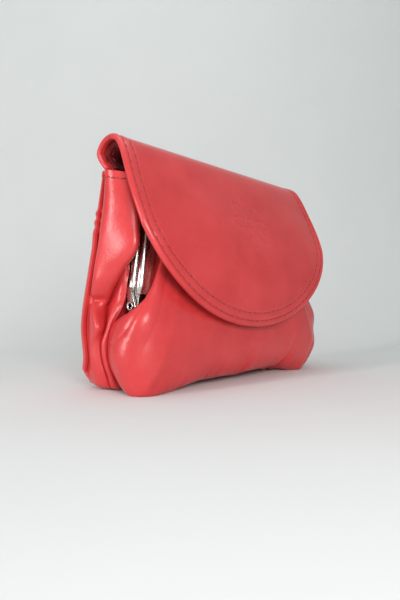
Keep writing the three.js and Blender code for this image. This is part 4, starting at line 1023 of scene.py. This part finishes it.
# %% [markdown]
# Two rows of stitches run round the flap, and a third holds its lining from below. Each follows the
# outline at its own distance, lifted to the face that it lies on.

# %% Seams on the flap
def inset_outline(d):
    run = unit(np.gradient(outline, axis=0))
    moved = outline + np.stack([run[:, 1], -run[:, 0]], -1) * d
    return moved[(from_edge(moved[:, 0], moved[:, 1]) > d - 0.05) & (moved[:, 1] > 2.5)]


def lining_face(d):
    return 0 * d - LINING_DEPTH - SUEDE / 2 + 0.2


FLAP_SEAMS = [("flap_outer_seam", ROW_1, flap_face, 1), ("flap_inner_seam", ROW_2, flap_face, 1),
              ("flap_lining_seam", ROW_2, lining_face, -1)]
for name, d, face_at, sign in FLAP_SEAMS:
    line = inset_outline(d)
    x, along = line[:, 0], line[:, 1]
    height = face_at(np.full(len(line), d))
    path = on_flap(x, along, height)
    seam(name, path, sign * unit(on_flap(x, along, height + 1) - path), "flap")

# %% [markdown]
# The top hems of the back panel, the gussets and the divider are turned over and sewn once. Such a row
# lies at one height, so it is found on the panel's grid by that height, from the hem downwards.

# %% Seams on the hems
DIVIDER_ROW = 72.5


def across_at(grid, z, inset, levels=None):
    normal = grid_normals(grid)
    path, out = [], []
    for line, facing in zip(grid, normal):
        rows = line[:, 2] if levels is None else levels
        upper = slice(0, int(np.argmin(rows)) + 1)
        path.append([np.interp(-z, -rows[upper], line[upper, i]) for i in range(3)])
        out.append([np.interp(-z, -rows[upper], facing[upper, i]) for i in range(3)])
    out = unit(np.array(out))
    return (np.array(path) + out * LEATHER / 2)[inset], out[inset]


seam("back_hem_seam", *across_at(back, BACK_HEM_ROW, slice(9, -9)), "purse_body")
seam("left_gusset_hem_seam", *across_at(gusset, GUSSET_HEM_ROW, slice(24, -13), heights), "purse_body")
seam("right_gusset_hem_seam", *across_at(right_grid, GUSSET_HEM_ROW, slice(13, -24), heights), "purse_body")
seam("divider_top_seam", *across_at(divider, DIVIDER_ROW, slice(1, -1)), "purse_body")

# %% [markdown]
# The linings are sewn to the leather along their upper edge and sides, with shorter stitches. The path is
# the border of the lining's own grid, taken a few squares further in.

# %% Seams on the linings
LINING_PITCH = 2.6


def lining_hem(name, grid, body):
    facing = -grid_normals(grid)
    face = grid + facing * CLOTH / 2
    border = [np.concatenate([lines[0, ::-1], lines[1:, 0], lines[-1, 1:]]) for lines in (face, facing)]
    seam(name, *border, body, pitch=LINING_PITCH)


lining_hem("pouch_rear_lining_seam", inside(clasp_back)[33:-33, 9:28], "purse_body")
lining_hem("pouch_front_lining_seam", inside(pouch)[75:-75, 16:44], OPENING)

# %% [markdown]
# One row of stitches runs round the zip's window. Its path is a rectangle with round corners, given by
# the formula of a superellipse, in shares and parts of the back panel's grid.

# %% Seam round the zip
WINDOW_ROW, SQUARENESS = 2.0, 0.12


def on_grid(grid, shares, parts, share, part):
    u = np.interp(share, shares, np.arange(len(shares)))
    v = np.interp(part, parts, np.arange(len(parts)))
    i, j = np.minimum(u.astype(int), len(shares) - 2), np.minimum(v.astype(int), len(parts) - 2)
    a, b = (u - i)[:, None], (v - j)[:, None]
    return mix(mix(grid[i, j], grid[i + 1, j], a), mix(grid[i, j + 1], grid[i + 1, j + 1], a), b)


turns = np.linspace(0, 2 * math.pi, 400)
round_x, round_z = (np.sign(v) * np.abs(v) ** SQUARENESS for v in (np.cos(turns), np.sin(turns)))
loop_share = round_x * (window_share + WINDOW_ROW / PER_SHARE)
loop_part = (top_part + low_part) / 2 - round_z * ((low_part - top_part) / 2 + WINDOW_ROW / per_part)
out = unit(on_grid(grid_normals(back), back_shares, back_parts, loop_share, loop_part))
path = on_grid(back, back_shares, back_parts, loop_share, loop_part) + out * LEATHER / 2
seam("zip_window_seam", path, out, "purse_body")

# %% [markdown]
# ## Clasp
#
# The clasp is two bent channels of nickel-plated steel, hinged by a tubular rivet in each leg, with
# two balls that snap past each other. A channel keeps one section along the whole frame. A bevelled
# Curve object could carry it, but its corners would thin out, so the section is placed at each station
# of the clasp's line and the rings are joined. The outer edge is half round, like the folded strip that
# it is made of.

# %% Sweeping a section along the frame
def swept(name, rings):
    piece = laid(name, np.concatenate([rings, rings[:, :1]], axis=1))
    bpy.ops.object.mode_set(mode="EDIT")
    bpy.ops.mesh.select_all(action="SELECT")
    bpy.ops.mesh.remove_doubles(threshold=1e-7)
    bpy.ops.mesh.select_mode(type="EDGE")
    bpy.ops.mesh.select_all(action="DESELECT")
    bpy.ops.mesh.select_non_manifold()
    bpy.ops.mesh.edge_face_add()
    bpy.ops.mesh.select_all(action="SELECT")
    bpy.ops.mesh.normals_make_consistent(inside=False)
    bpy.ops.object.mode_set(mode="OBJECT")
    smooth_shaded(piece, 45)
    return piece


# %% The channel's section, as inset and place across
CHANNEL_FLOOR, LIP_ROUND = 0.8, 0.12


def bar_middle(side):
    return side * (GAP / 2 + BAR_WIDTH / 2)


def channel_section(side):
    middle, radius = bar_middle(side), BAR_WIDTH / 2
    wall = radius - BAR_WALL
    swing = np.linspace(-math.pi / 2, math.pi / 2, 15)
    bend = [(radius * 0.9 * (1 - math.cos(a)), middle + radius * math.sin(a)) for a in swing]
    lip = [(BAR_DEPTH - 0.15, radius), (BAR_DEPTH, radius - LIP_ROUND), (BAR_DEPTH, wall)]
    far_lip = [(inset, middle + y) for inset, y in lip]
    near_lip = [(inset, middle - y) for inset, y in lip[::-1]]
    return bend + far_lip + [(CHANNEL_FLOOR, middle + wall), (CHANNEL_FLOOR, middle - wall)] + near_lip


stations = np.concatenate([np.linspace(0, 0.6, 7), np.linspace(0.8, 4, 13), np.linspace(4, 8, 28)[1:],
                           np.linspace(8, 12, 16)[1:]])
stations = np.concatenate([stations, (STATIONS - stations)[-2::-1]])
print("channel of", len(stations), "rings with", len(channel_section(1)), "points each")

# %% [markdown]
# Below each channel a flat lug reaches down to the rivet: a plate with a round end, a hole, and a strap
# that narrows up to the bar. A cylinder and a cube could be joined and drilled by Booleans, but those are
# unsure where faces meet. So the plate is a ring swept round its hole: each point of its outline has
# a point of the hole opposite.

# %% Lugs
LUG_THICKNESS, LUG_RADIUS, LUG_LAP, LUG_ROUND, RIVET_HOLE = 0.8, 2.2, 2, 0.12, 0.95
LUG_FACE = {1: 50.1, -1: 49.0}
LUG_TOP_HALF, LUG_TOP_INSET = 1.2, 0.35


def rounded(piece, width):
    applied(piece, "BEVEL", width=width * MM, segments=2, limit_method="ANGLE", angle_limit=math.radians(30))
    smooth_shaded(piece, 40)
    return piece


def lug_outline(side):
    top = LUG_RISE + LUG_LAP
    corners = [(LUG_RADIUS, 0), (bar_middle(side) + LUG_TOP_HALF, top), (bar_middle(side) - LUG_TOP_HALF, top),
               (-LUG_RADIUS, 0)]
    swing = np.linspace(math.pi, 2 * math.pi, 25)[:-1]
    points = [(LUG_RADIUS * math.cos(a), LUG_RADIUS * math.sin(a)) for a in swing]
    for a, b in zip(corners[:-1], corners[1:]):
        points += [mix(np.array(a), np.array(b), s) for s in np.linspace(0, 1, 9)[:-1]]
    return np.array(points, float)


def lug(side, hand):
    rings = []
    for edge, eye in zip(lug_outline(side), RIVET_HOLE * unit(lug_outline(side))):
        ring = []
        for (y, z), depth in ((eye, 0), (edge, 0), (edge, LUG_THICKNESS), (eye, LUG_THICKNESS)):
            inset = LUG_TOP_INSET * max(z, 0) / (LUG_RISE + LUG_LAP)
            ring.append((hand * (LUG_FACE[side] - depth - inset), FRAME_Y + y, RIVET_Z + z))
        rings.append(ring)
    return rounded(swept("lug", np.array(rings + rings[:1])), LUG_ROUND)


# %% Channels with their lugs
def clasp_half(name, side, body, node):
    middle = bar_middle(side)
    rings = []
    for k in stations:
        full = ease((min(k, STATIONS - k) + 0.1) / 0.6)
        narrow, shorter = mix(0.7, 1, full), mix(0.9, 0, full)
        rings.append([frame_point(k, inset + shorter * (inset < BAR_DEPTH / 2), middle + (y - middle) * narrow)
                      for inset, y in channel_section(side)])
    channel = swept(name, np.array(rings))
    for hand in (-1, 1):
        part = lug(side, hand)
        focus(channel)
        part.select_set(True)
        bpy.ops.object.join()
    finished(channel, body, nickel, "nickel", node)


clasp_half("front_clasp_channel", -1, "front_frame_half", "front_frame")
clasp_half("rear_clasp_channel", 1, "purse_body", "rear_frame")

# %% [markdown]
# ## Turned pieces
#
# Rivets, balls and snap discs are round, so each is half a profile spun about its axis, as on a lathe.
# The profile is a row of radius and height, and the spun piece is then laid along the direction that it
# points in.

# %% Spinning a profile
def turned(name, profile, place, axis, steps=40):
    bpy.ops.object.select_all(action="DESELECT")
    bpy.ops.mesh.primitive_plane_add(size=1)
    piece = active_as(name)
    bpy.ops.object.mode_set(mode="EDIT")
    bpy.ops.mesh.select_all(action="SELECT")
    bpy.ops.mesh.delete(type="VERT")
    bpy.ops.object.mode_set(mode="OBJECT")
    line = [(i, i + 1) for i in range(len(profile) - 1)]
    piece.data.from_pydata([(r * MM, 0, h * MM) for r, h in profile], line, [])
    bpy.ops.object.mode_set(mode="EDIT")
    bpy.ops.mesh.select_all(action="SELECT")
    bpy.ops.mesh.spin(steps=steps, angle=2 * math.pi, center=(0, 0, 0), axis=(0, 0, 1))
    bpy.ops.mesh.select_all(action="SELECT")
    bpy.ops.mesh.remove_doubles(threshold=1e-6)
    bpy.ops.mesh.normals_make_consistent(inside=False)
    bpy.ops.object.mode_set(mode="OBJECT")
    piece.rotation_euler = Vector(axis).to_track_quat("Z", "Y").to_euler()
    piece.location = Vector(place) * MM
    settled(piece)
    smooth_shaded(piece, 35)
    return piece


def bead(radius, low, high, around=5):
    half = (high - low) / 2
    swing = np.linspace(-math.pi / 2, math.pi / 2, around)
    return [(radius - half + half * math.cos(a), (low + high) / 2 + half * math.sin(a)) for a in swing]


# %% [markdown]
# A rivet is a tube whose ends are rolled outwards over the lugs. Its bore is in deep shade, so the faces
# inside get the dark steel as a second material.

# %% Rivets
RIVET_FROM, RIVET_TO, RIVET_BORE, RIVET_SHANK = 47.4, 50.9, 0.75, 1.0
inner_roll, outer_roll = bead(1.55, RIVET_FROM, RIVET_FROM + 0.5), bead(1.6, RIVET_TO - 0.5, RIVET_TO, 9)
rivet_profile = [(RIVET_BORE, RIVET_FROM + 0.1)] + inner_roll
rivet_profile += [(RIVET_SHANK, RIVET_FROM + 0.55), (RIVET_SHANK, RIVET_TO - 0.55)] + outer_roll
rivet_profile += [(RIVET_SHANK, RIVET_TO - 0.1), (0.85, RIVET_TO - 0.25), (RIVET_BORE, RIVET_TO - 0.5)]
rivet_profile += rivet_profile[:1]
for name, hand in (("left_rivet", -1), ("right_rivet", 1)):
    rivet = turned("tubular_" + name, rivet_profile, (0, FRAME_Y, RIVET_Z), (hand, 0, 0))
    finished(rivet, "purse_body", nickel, "nickel", name)
    # Faces inside the bore get the near-black painted shade.
    rivet.data.materials.append(bore_painted_shade)
    for face in rivet.data.polygons:
        reach = math.hypot(face.center.y - FRAME_Y * MM, face.center.z - RIVET_Z * MM)
        face.material_index = int(reach < (RIVET_BORE + 0.07) * MM)

# %% [markdown]
# The kiss balls lean over the gap from their own bar, one on each side of the middle. Pressed
# together, they slip past each other and hold the clasp shut.

# %% Kiss balls
BALL_RADIUS, BALL_X, BALL_RISE, BALL_PAST = 3, 3.3, 3.6, 0.4
for name, side, body in (("front_kiss_ball", -1, "front_frame_half"), ("rear_kiss_ball", 1, "purse_body")):
    foot = np.array([-side * BALL_X, FRAME_Y + bar_middle(side), FRAME_TOP - 0.4])
    centre = np.array([-side * BALL_X, FRAME_Y - side * BALL_PAST, FRAME_TOP + BALL_RISE])
    reach = float(np.linalg.norm(centre - foot))
    swing = np.linspace(0.42, math.pi, 18)[:-1]
    profile = [(0, 0), (1.75, 0), (1.7, 0.35), (1.35, 0.7), (1.15, 1.0)]
    profile += [(BALL_RADIUS * math.sin(a), reach - BALL_RADIUS * math.cos(a)) for a in swing]
    profile += [(0, reach + BALL_RADIUS)]
    ball = turned("turned_" + name, profile, foot, tuple(centre - foot), 32)
    finished(ball, body, nickel, "nickel", name)

# %% [markdown]
# A magnetic snap holds the flap down: a stud on the flap's lining and a socket on the pouch. Both are
# thin drawn discs, so they are turned from profiles too. The socket and its washer sit on the pouch's
# front.

# %% Magnetic snap
SNAP_Z, SNAP_RADIUS = FRAME_TOP - 31, 5.5
snap_along = along_flap(SNAP_Z)
flap_spot = on_flap(np.float64(0), snap_along, 0.0)
flap_out = on_flap(np.float64(0), snap_along, 1.0) - flap_spot
stud = [(0, 2.15), (5.2, 2.15)] + bead(SNAP_RADIUS, 2.15, 2.85)
stud += [(4.4, 2.9), (4.1, 3.1), (3.6, 3.15), (2.3, 3.15), (1.9, 3.3), (1.7, 3.45), (0, 3.48)]
stud_disc = turned("snap_stud_disc", stud, flap_spot, tuple(-flap_out), 48)
finished(stud_disc, "flap", nickel, "nickel", "snap_stud")
column = len(pouch) // 2
row = int(np.argmin(np.abs(pouch[column, 8:50, 2] - SNAP_Z))) + 8
pouch_spot, pouch_out = pouch[column, row], tuple(grid_normals(pouch)[column, row])
socket = [(0, 0.45), (5.2, 0.45)] + bead(SNAP_RADIUS, 0.45, 1.15)
socket += [(4.5, 1.25), (4.2, 1.45), (2.9, 1.48), (2.6, 1.35), (2.5, 0.95), (0, 0.95)]
socket_disc = turned("snap_socket_disc", socket, pouch_spot, pouch_out, 48)
finished(socket_disc, OPENING, nickel, "nickel", "snap_socket")

# %% Washer behind the snap's socket
WASHER, WASHER_BORE, WASHER_RADIUS = 0.25, 0.9, 3
under = -LEATHER / 2 - (PLY_GAP + WASHER) / 2
ring = [(WASHER_BORE, under), (WASHER_RADIUS - 0.1, under), (WASHER_RADIUS, under + 0.08),
        (WASHER_RADIUS, under + 0.17), (WASHER_RADIUS - 0.1, under + WASHER), (WASHER_BORE, under + WASHER)]
washer = turned("pressed_socket_washer", ring + ring[:1], pouch_spot, pouch_out, 36)
finished(washer, OPENING, dark_nickel, "nickel", "socket_washer")

# %% [markdown]
# ## Paper cord in the channels
#
# Clasp makers push the leather into the channel and hold it there with a twisted paper cord. It has
# three strands, so its round section has three lobes that turn as it runs along. It is swept along the
# clasp's line like the channel itself.

# %% Paper cords
CORD_RADIUS, STRANDS, TWIST = 0.4, 3, 0.35
around = np.linspace(0, 2 * math.pi, 10)[:-1]
for name, side, body in (("front_paper_cord", -1, "front_frame_half"), ("rear_paper_cord", 1, "purse_body")):
    middle = tuck_y(side) - side * (LEATHER / 2 + GAP + CORD_RADIUS)
    inset = TUCK + CORD_RADIUS + GAP
    rings = []
    for i, k in enumerate(np.linspace(1, STATIONS - 1, 260)):
        radius = CORD_RADIUS * (0.86 + 0.14 * np.cos(STRANDS * (around - i * TWIST)))
        rings.append([frame_point(k, inset + r * math.cos(a), middle + r * math.sin(a))
                      for r, a in zip(radius, around)])
    finished(swept("twisted_" + name, np.array(rings)), body, cord_paper, "paper_cord", name)

# %% [markdown]
# ## Zip pocket
#
# The zip leans a little, as the back panel does there. Its pieces are drawn upright round the middle of
# the window, which keeps their sizes plain, and are then leaned and moved into place together.

# %% The zip's own place
ZIP_LEAN = math.radians(7.63)
ZIP_MIDDLE = np.array([0, 13.464, 63.0])


def zip_place(points):
    points = np.asarray(points, float)
    c, s = math.cos(ZIP_LEAN), math.sin(ZIP_LEAN)
    x, y, z = points[..., 0], points[..., 1], points[..., 2]
    return np.stack([x, y * c - z * s, y * s + z * c], -1) + ZIP_MIDDLE


def leaned(piece, place=(0, 0, 0), lean=0.0):
    zip_frame = Matrix.Translation(Vector(ZIP_MIDDLE) * MM) @ Matrix.Rotation(ZIP_LEAN, 4, "X")
    piece.matrix_world = zip_frame @ Matrix.Translation(Vector(place) * MM) @ Matrix.Rotation(lean, 4, "X")
    return settled(piece)


print("a point 10 mm up the zip is at", np.round(zip_place([0, 0, 10]), 2))

# %% [markdown]
# Two woven tapes carry the teeth, each with a thicker cord along its inner edge. They are sheets like
# the linings, with that cord as a small rise.

# %% Tapes
TAPE_HALF, TAPE_Y, TAPE_RISE, SLIT = 43, -1.0, 8.0, 1.4
for name, low, high in (("upper_zip_tape", SLIT / 2, TAPE_RISE), ("lower_zip_tape", -TAPE_RISE, -SLIT / 2)):
    x, z = np.meshgrid(np.linspace(-TAPE_HALF, TAPE_HALF, 120), np.linspace(high, low, 12), indexing="ij")
    cord_rise = 0.12 * groove(np.abs(z), 1.2, 0.5) + 0.03 * np.sin(x / 1.7)
    tape = sheet("woven_" + name, zip_place(np.stack([x, TAPE_Y + cord_rise, z], -1)), CLOTH)
    finished(tape, "purse_body", zip_cloth, "zip_tape", name)

# %% [markdown]
# Behind the tapes hangs a flat bag of lining cloth, one strip that is folded at the bottom. Its line runs
# down from the lower tape, round the fold and up to the upper tape, with a slight wave across.

# %% Pocket bag
BAG = [(0, -1.7, -8.3), (0, -1.7, -34), (0, -2.5, -34.8), (0, -3.3, -34), (0, -3.3, -8), (0, -2.7, -3.2),
       (0, -2.7, 3.2), (0, -1.7, 8)]
bag = np.tile([curve_point(BAG, p) for p in np.linspace(0, 1, 90)], (61, 1, 1))
bag[..., 0] = np.linspace(TAPE_HALF, -TAPE_HALF, 61)[:, None]
bag[..., 1] += 0.12 * np.sin(bag[..., 0] / 5) * ease((-bag[..., 2] - 10) / 6) * ease((33 + bag[..., 2]) / 6)
tapes = ["woven_upper_zip_tape", "woven_lower_zip_tape"]
cloth("zip_pocket_bag", zip_place(bag), "purse_body", "zip_pocket_lining", tapes)

# %% [markdown]
# A tooth is a small stamped block whose head is narrower than its foot. One tooth is a bevelled cube,
# tapered at its head, and is copied along each tape with the rows half a step apart. An array of whole
# objects would do the same, but a row is one piece on the real zip as well.

# %% Teeth
TOOTH, TOOTH_BEVEL, HEAD_WIDTH, HEAD_DEPTH = (0.78, 1.1, 2.1), 0.13, 0.8, 0.85
TEETH_HALF, TOOTH_PITCH, TOOTH_Y, TOOTH_Z = 37.0, 1.25, 0.05, 1.52
bpy.ops.object.select_all(action="DESELECT")
bpy.ops.mesh.primitive_cube_add(size=1, scale=TOOTH)
tooth = settled(active_as("one_tooth"))
for vertex in tooth.data.vertices:
    if vertex.co.z < 0:
        vertex.co.x *= HEAD_WIDTH
        vertex.co.y *= HEAD_DEPTH
applied(tooth, "BEVEL", width=TOOTH_BEVEL, segments=1)
tooth_points, tooth_faces = taken(tooth)
for name, hand in (("upper_zip_teeth", 1), ("lower_zip_teeth", -1)):
    x = np.arange(-TEETH_HALF + (0 if hand > 0 else TOOTH_PITCH / 2), TEETH_HALF, TOOTH_PITCH)
    spots = zip_place(np.stack([x, 0 * x + TOOTH_Y, 0 * x + hand * TOOTH_Z], -1))
    points = zip_place(tooth_points * (1, 1, hand)) - ZIP_MIDDLE
    faces = [face[::hand] for face in tooth_faces]
    straight, upright = np.tile([1.0, 0, 0], (len(x), 1)), np.tile([0, 0, 1.0], (len(x), 1))
    row = copies("stamped_" + name, points, faces, spots, straight, upright)
    finished(row, "purse_body", dark_nickel, "nickel", name)

# %% [markdown]
# Stops, slider and pull are cast or stamped from thick metal. Each is built from a few blocks: a cube
# whose edges along one axis get a wide bevel, and whose other edges get a fine one, so that every edge
# catches a line of light.

# %% Blocks with round corners
def block(size, place, corner=0.0, corner_axis=1, edge=0.15):
    bpy.ops.object.select_all(action="DESELECT")
    bpy.ops.mesh.primitive_cube_add(size=1, location=Vector(place) * MM, scale=Vector(size) * MM)
    piece = settled(active_as("block"))
    if corner:
        bpy.ops.object.mode_set(mode="EDIT")
        bpy.ops.mesh.select_mode(type="EDGE")
        bpy.ops.mesh.select_all(action="DESELECT")
        bpy.ops.object.mode_set(mode="OBJECT")
        for line in piece.data.edges:
            a, b = (piece.data.vertices[v].co for v in line.vertices)
            line.select = abs(a[corner_axis] - b[corner_axis]) > 1e-6
        bpy.ops.object.mode_set(mode="EDIT")
        bpy.ops.mesh.bevel(offset=corner * MM, segments=5, affect="EDGES")
        bpy.ops.object.mode_set(mode="OBJECT")
    return rounded(piece, edge)


def joined(name, *pieces):
    focus(pieces[0])
    for piece in pieces[1:]:
        piece.select_set(True)
    bpy.ops.object.join()
    return active_as(name)


# %% End stops
STOP_X = 38.7
for name, hand in (("left_zip_stop", -1), ("right_zip_stop", 1)):
    clamp = block((2, 1.1, 5.2), (hand * STOP_X, TOOTH_Y, 0), 0.5, 1, 0.25)
    rib = block((0.5, 0.4, 4.6), (hand * STOP_X, 0.6, 0), edge=0.12)
    stop = joined("crimped_" + name, clamp, rib)
    finished(leaned(stop), "purse_body", dark_nickel, "nickel", name)

# %% [markdown]
# The slider has two plates joined by a post, and ears that hold the pull's pin. Its outer plate is
# narrower behind, where the closed teeth leave it.

# %% Slider
SLIDER_X, PIN_Y, PLATE_HALF, PLATE_TAPER = 33.1, 3.7, 4, 0.22
outer_plate = block((2 * PLATE_HALF, 1.0, 6.4), (0, 1.4, 0), 1.6, 1, 0.3)
for vertex in outer_plate.data.vertices:
    vertex.co.z *= 1 - PLATE_TAPER * max(-vertex.co.x / (PLATE_HALF * MM), 0)
inner_plate = block((2 * PLATE_HALF, 0.7, 6.4), (0, -1.85, 0), 1.6, 1, 0.2)
post = block((2.4, 3.0, 0.78), (0, -0.2, 0), 0.3, 1, 0.08)
ears = [block((0.9, 3.2, 2.4), (hand * 2.55, 3.25, 0), 1.0, 0, 0.15) for hand in (-1, 1)]
bpy.ops.object.select_all(action="DESELECT")
bpy.ops.mesh.primitive_cylinder_add(vertices=24, radius=0.6 * MM, depth=6.3 * MM, rotation=(0, math.pi / 2, 0),
                                    location=(0, PIN_Y * MM, 0))
pin = rounded(settled(active_as("pin")), 0.15)
slider = joined("cast_zip_slider", outer_plate, inner_plate, post, *ears, pin)
finished(leaned(slider, (SLIDER_X, 0, 0)), "zip_slider", nickel, "nickel", "zip_slider")

# %% [markdown]
# The pull is a flat tab with a rolled eye round the pin. It widens downwards, and its face is inset and
# pressed in, which makes the raised border that fingers feel.

# %% Pull
PULL_REST = math.radians(-7)
TAB_NECK, PANEL_BORDER, PANEL_DEPTH = 0.72, 0.55, 0.22
tab = block((3.6, 1.2, 13.2), (0, 0, -8.4), 1.2, 1, 0.2)
for vertex in tab.data.vertices:
    vertex.co.x *= mix(TAB_NECK, 1.0, min(max((-vertex.co.z / MM - 2) / 6, 0), 1))
focus(tab)
bpy.ops.object.mode_set(mode="EDIT")
bpy.ops.mesh.select_mode(type="FACE")
bpy.ops.mesh.select_all(action="DESELECT")
bpy.ops.object.mode_set(mode="OBJECT")
for face in tab.data.polygons:
    face.select = abs(face.normal.y) > 0.99 and face.area > 10 * MM * MM
bpy.ops.object.mode_set(mode="EDIT")
bpy.ops.mesh.inset(thickness=PANEL_BORDER * MM, use_individual=True)
bpy.ops.mesh.inset(thickness=0.2 * MM, depth=-PANEL_DEPTH * MM, use_individual=True)
bpy.ops.object.mode_set(mode="OBJECT")
eye_profile = bead(1.6, -1.8, -1.5) + bead(1.6, 1.5, 1.8) + [(0.72, 1.8), (0.72, -1.8), (1.45, -1.8)]
eye = turned("eye", eye_profile, (0, 0, 0), (1, 0, 0), 32)
pull = joined("stamped_zip_pull", tab, eye)
finished(leaned(pull, (SLIDER_X, PIN_Y, 0), PULL_REST), "zip_pull", nickel, "nickel", "zip_pull")

# %% [markdown]
# The washer of the flap's snap lies between leather and suede, where nobody sees it. Its plain solid is
# good enough, so it stays and only gets its metal.

# %% Washer kept from the frame
hidden_washer = bpy.data.objects["stud_washer"]
hidden_washer.data.materials.clear()
hidden_washer.data.materials.append(dark_nickel)
print("stud_washer kept")

# %% [markdown]
# ## Stage
#
# The purse stands on white card that sweeps up behind it, so that no horizon shows. One grid is bent for
# that: flat, then a quarter of a cylinder, then upright, and turned towards the camera. Lengths on the
# stage are in metres.

# %% Paper sweep
SWEEP_HALF, SWEEP_NEAR, SWEEP_LENGTH = 2.5, -1.6, 3.0
BEND_START, BEND_RADIUS = 0.12, 0.16
FACING = math.radians(-42)
quarter = BEND_RADIUS * math.pi / 2
sweep_paper, tree, surface, mm = material("white_card_uncoated", Roughness=0.9, Specular_IOR_Level=0.1)
fibres = add(tree, "TexNoise", Vector=mm, Scale=0.02, Detail=3.0).outputs["Fac"]
dye = add(tree, "Mix", {"data_type": "RGBA"}, i0=fibres, i6=linear("#e2e5e4"), i7=linear("#e7eae9"))
feed(tree, surface, Base_Color=dye.outputs[2])

bpy.ops.object.select_all(action="DESELECT")
bpy.ops.mesh.primitive_grid_add(x_subdivisions=4, y_subdivisions=120, size=2)
floor = active_as("paper_sweep")
for vertex in floor.data.vertices:
    across, along = vertex.co.x * SWEEP_HALF, (vertex.co.y + 1) * SWEEP_LENGTH / 2 + SWEEP_NEAR
    bend = min(max(along - BEND_START, 0), quarter) / BEND_RADIUS
    ahead = min(along, BEND_START) + BEND_RADIUS * math.sin(bend)
    rise = BEND_RADIUS * (1 - math.cos(bend)) + max(along - BEND_START - quarter, 0)
    x = across * math.cos(FACING) - ahead * math.sin(FACING)
    y = across * math.sin(FACING) + ahead * math.cos(FACING)
    vertex.co = (x, y, rise)
smooth_shaded(floor, 60)
floor.data.materials.append(sweep_paper)
print("card", 2 * SWEEP_HALF, "m wide, rising", round(1000 * BEND_START), "mm behind the middle")

# %% [markdown]
# Glazed leather shows its folds by what it mirrors, so the lamps are placed for their reflections. A tall
# narrow strip on the left draws the long thin highlights on the gusset and the pouch's lobe. A square
# softbox in front lights the flap evenly, and the flap shades the leaf behind it. The third lamp hangs
# above and brightens the backdrop.

# %% Lamps
def softbox(name, place, target, size, power):
    bpy.ops.object.light_add(type="AREA", location=place)
    lamp = bpy.context.object
    lamp.name = name
    lamp.data.shape = "RECTANGLE"
    lamp.data.size, lamp.data.size_y = size
    lamp.data.energy = power
    lamp.rotation_euler = (Vector(target) - Vector(place)).to_track_quat("-Z", "Y").to_euler()
    print(name, "of", power, "W")


softbox("left_strip", (-0.5, 0.05, 0.14), (-0.05, 0, 0.04), (0.03, 0.26), 0.95)
softbox("key_softbox", (-0.21, -0.29, 0.14), (0, 0, 0.05), (0.14, 0.14), 0.74)
softbox("backdrop_softbox", (-0.05, 0.02, 0.6), (0.2, 0.25, 0.1), (0.4, 0.2), 0.6)

# %% [markdown]
# The world is a white room. It gives less light than it shows: what the camera and reflections see of it
# is brighter than what it adds to matt surfaces, which keeps some shadow under the purse.

# %% World
ROOM_LIGHT, ROOM_SEEN = 0.4, 0.62
world = bpy.data.worlds.new("studio_white")
bpy.context.scene.world = world
world.use_nodes = True
tree = world.node_tree
ray = add(tree, "LightPath").outputs
larger = {"operation": "MAXIMUM"}
seen = add(tree, "Math", larger, i0=ray["Is Camera Ray"], i1=ray["Is Glossy Ray"]).outputs[0]
seen = add(tree, "Math", larger, i0=seen, i1=ray["Is Transmission Ray"]).outputs[0]
strength = add(tree, "MapRange", Value=seen, To_Min=ROOM_LIGHT, To_Max=ROOM_SEEN)
feed(tree, tree.nodes["Background"], Color=linear("#f4f6f7"), Strength=strength.outputs["Result"])
print("world", world.name, "ready")
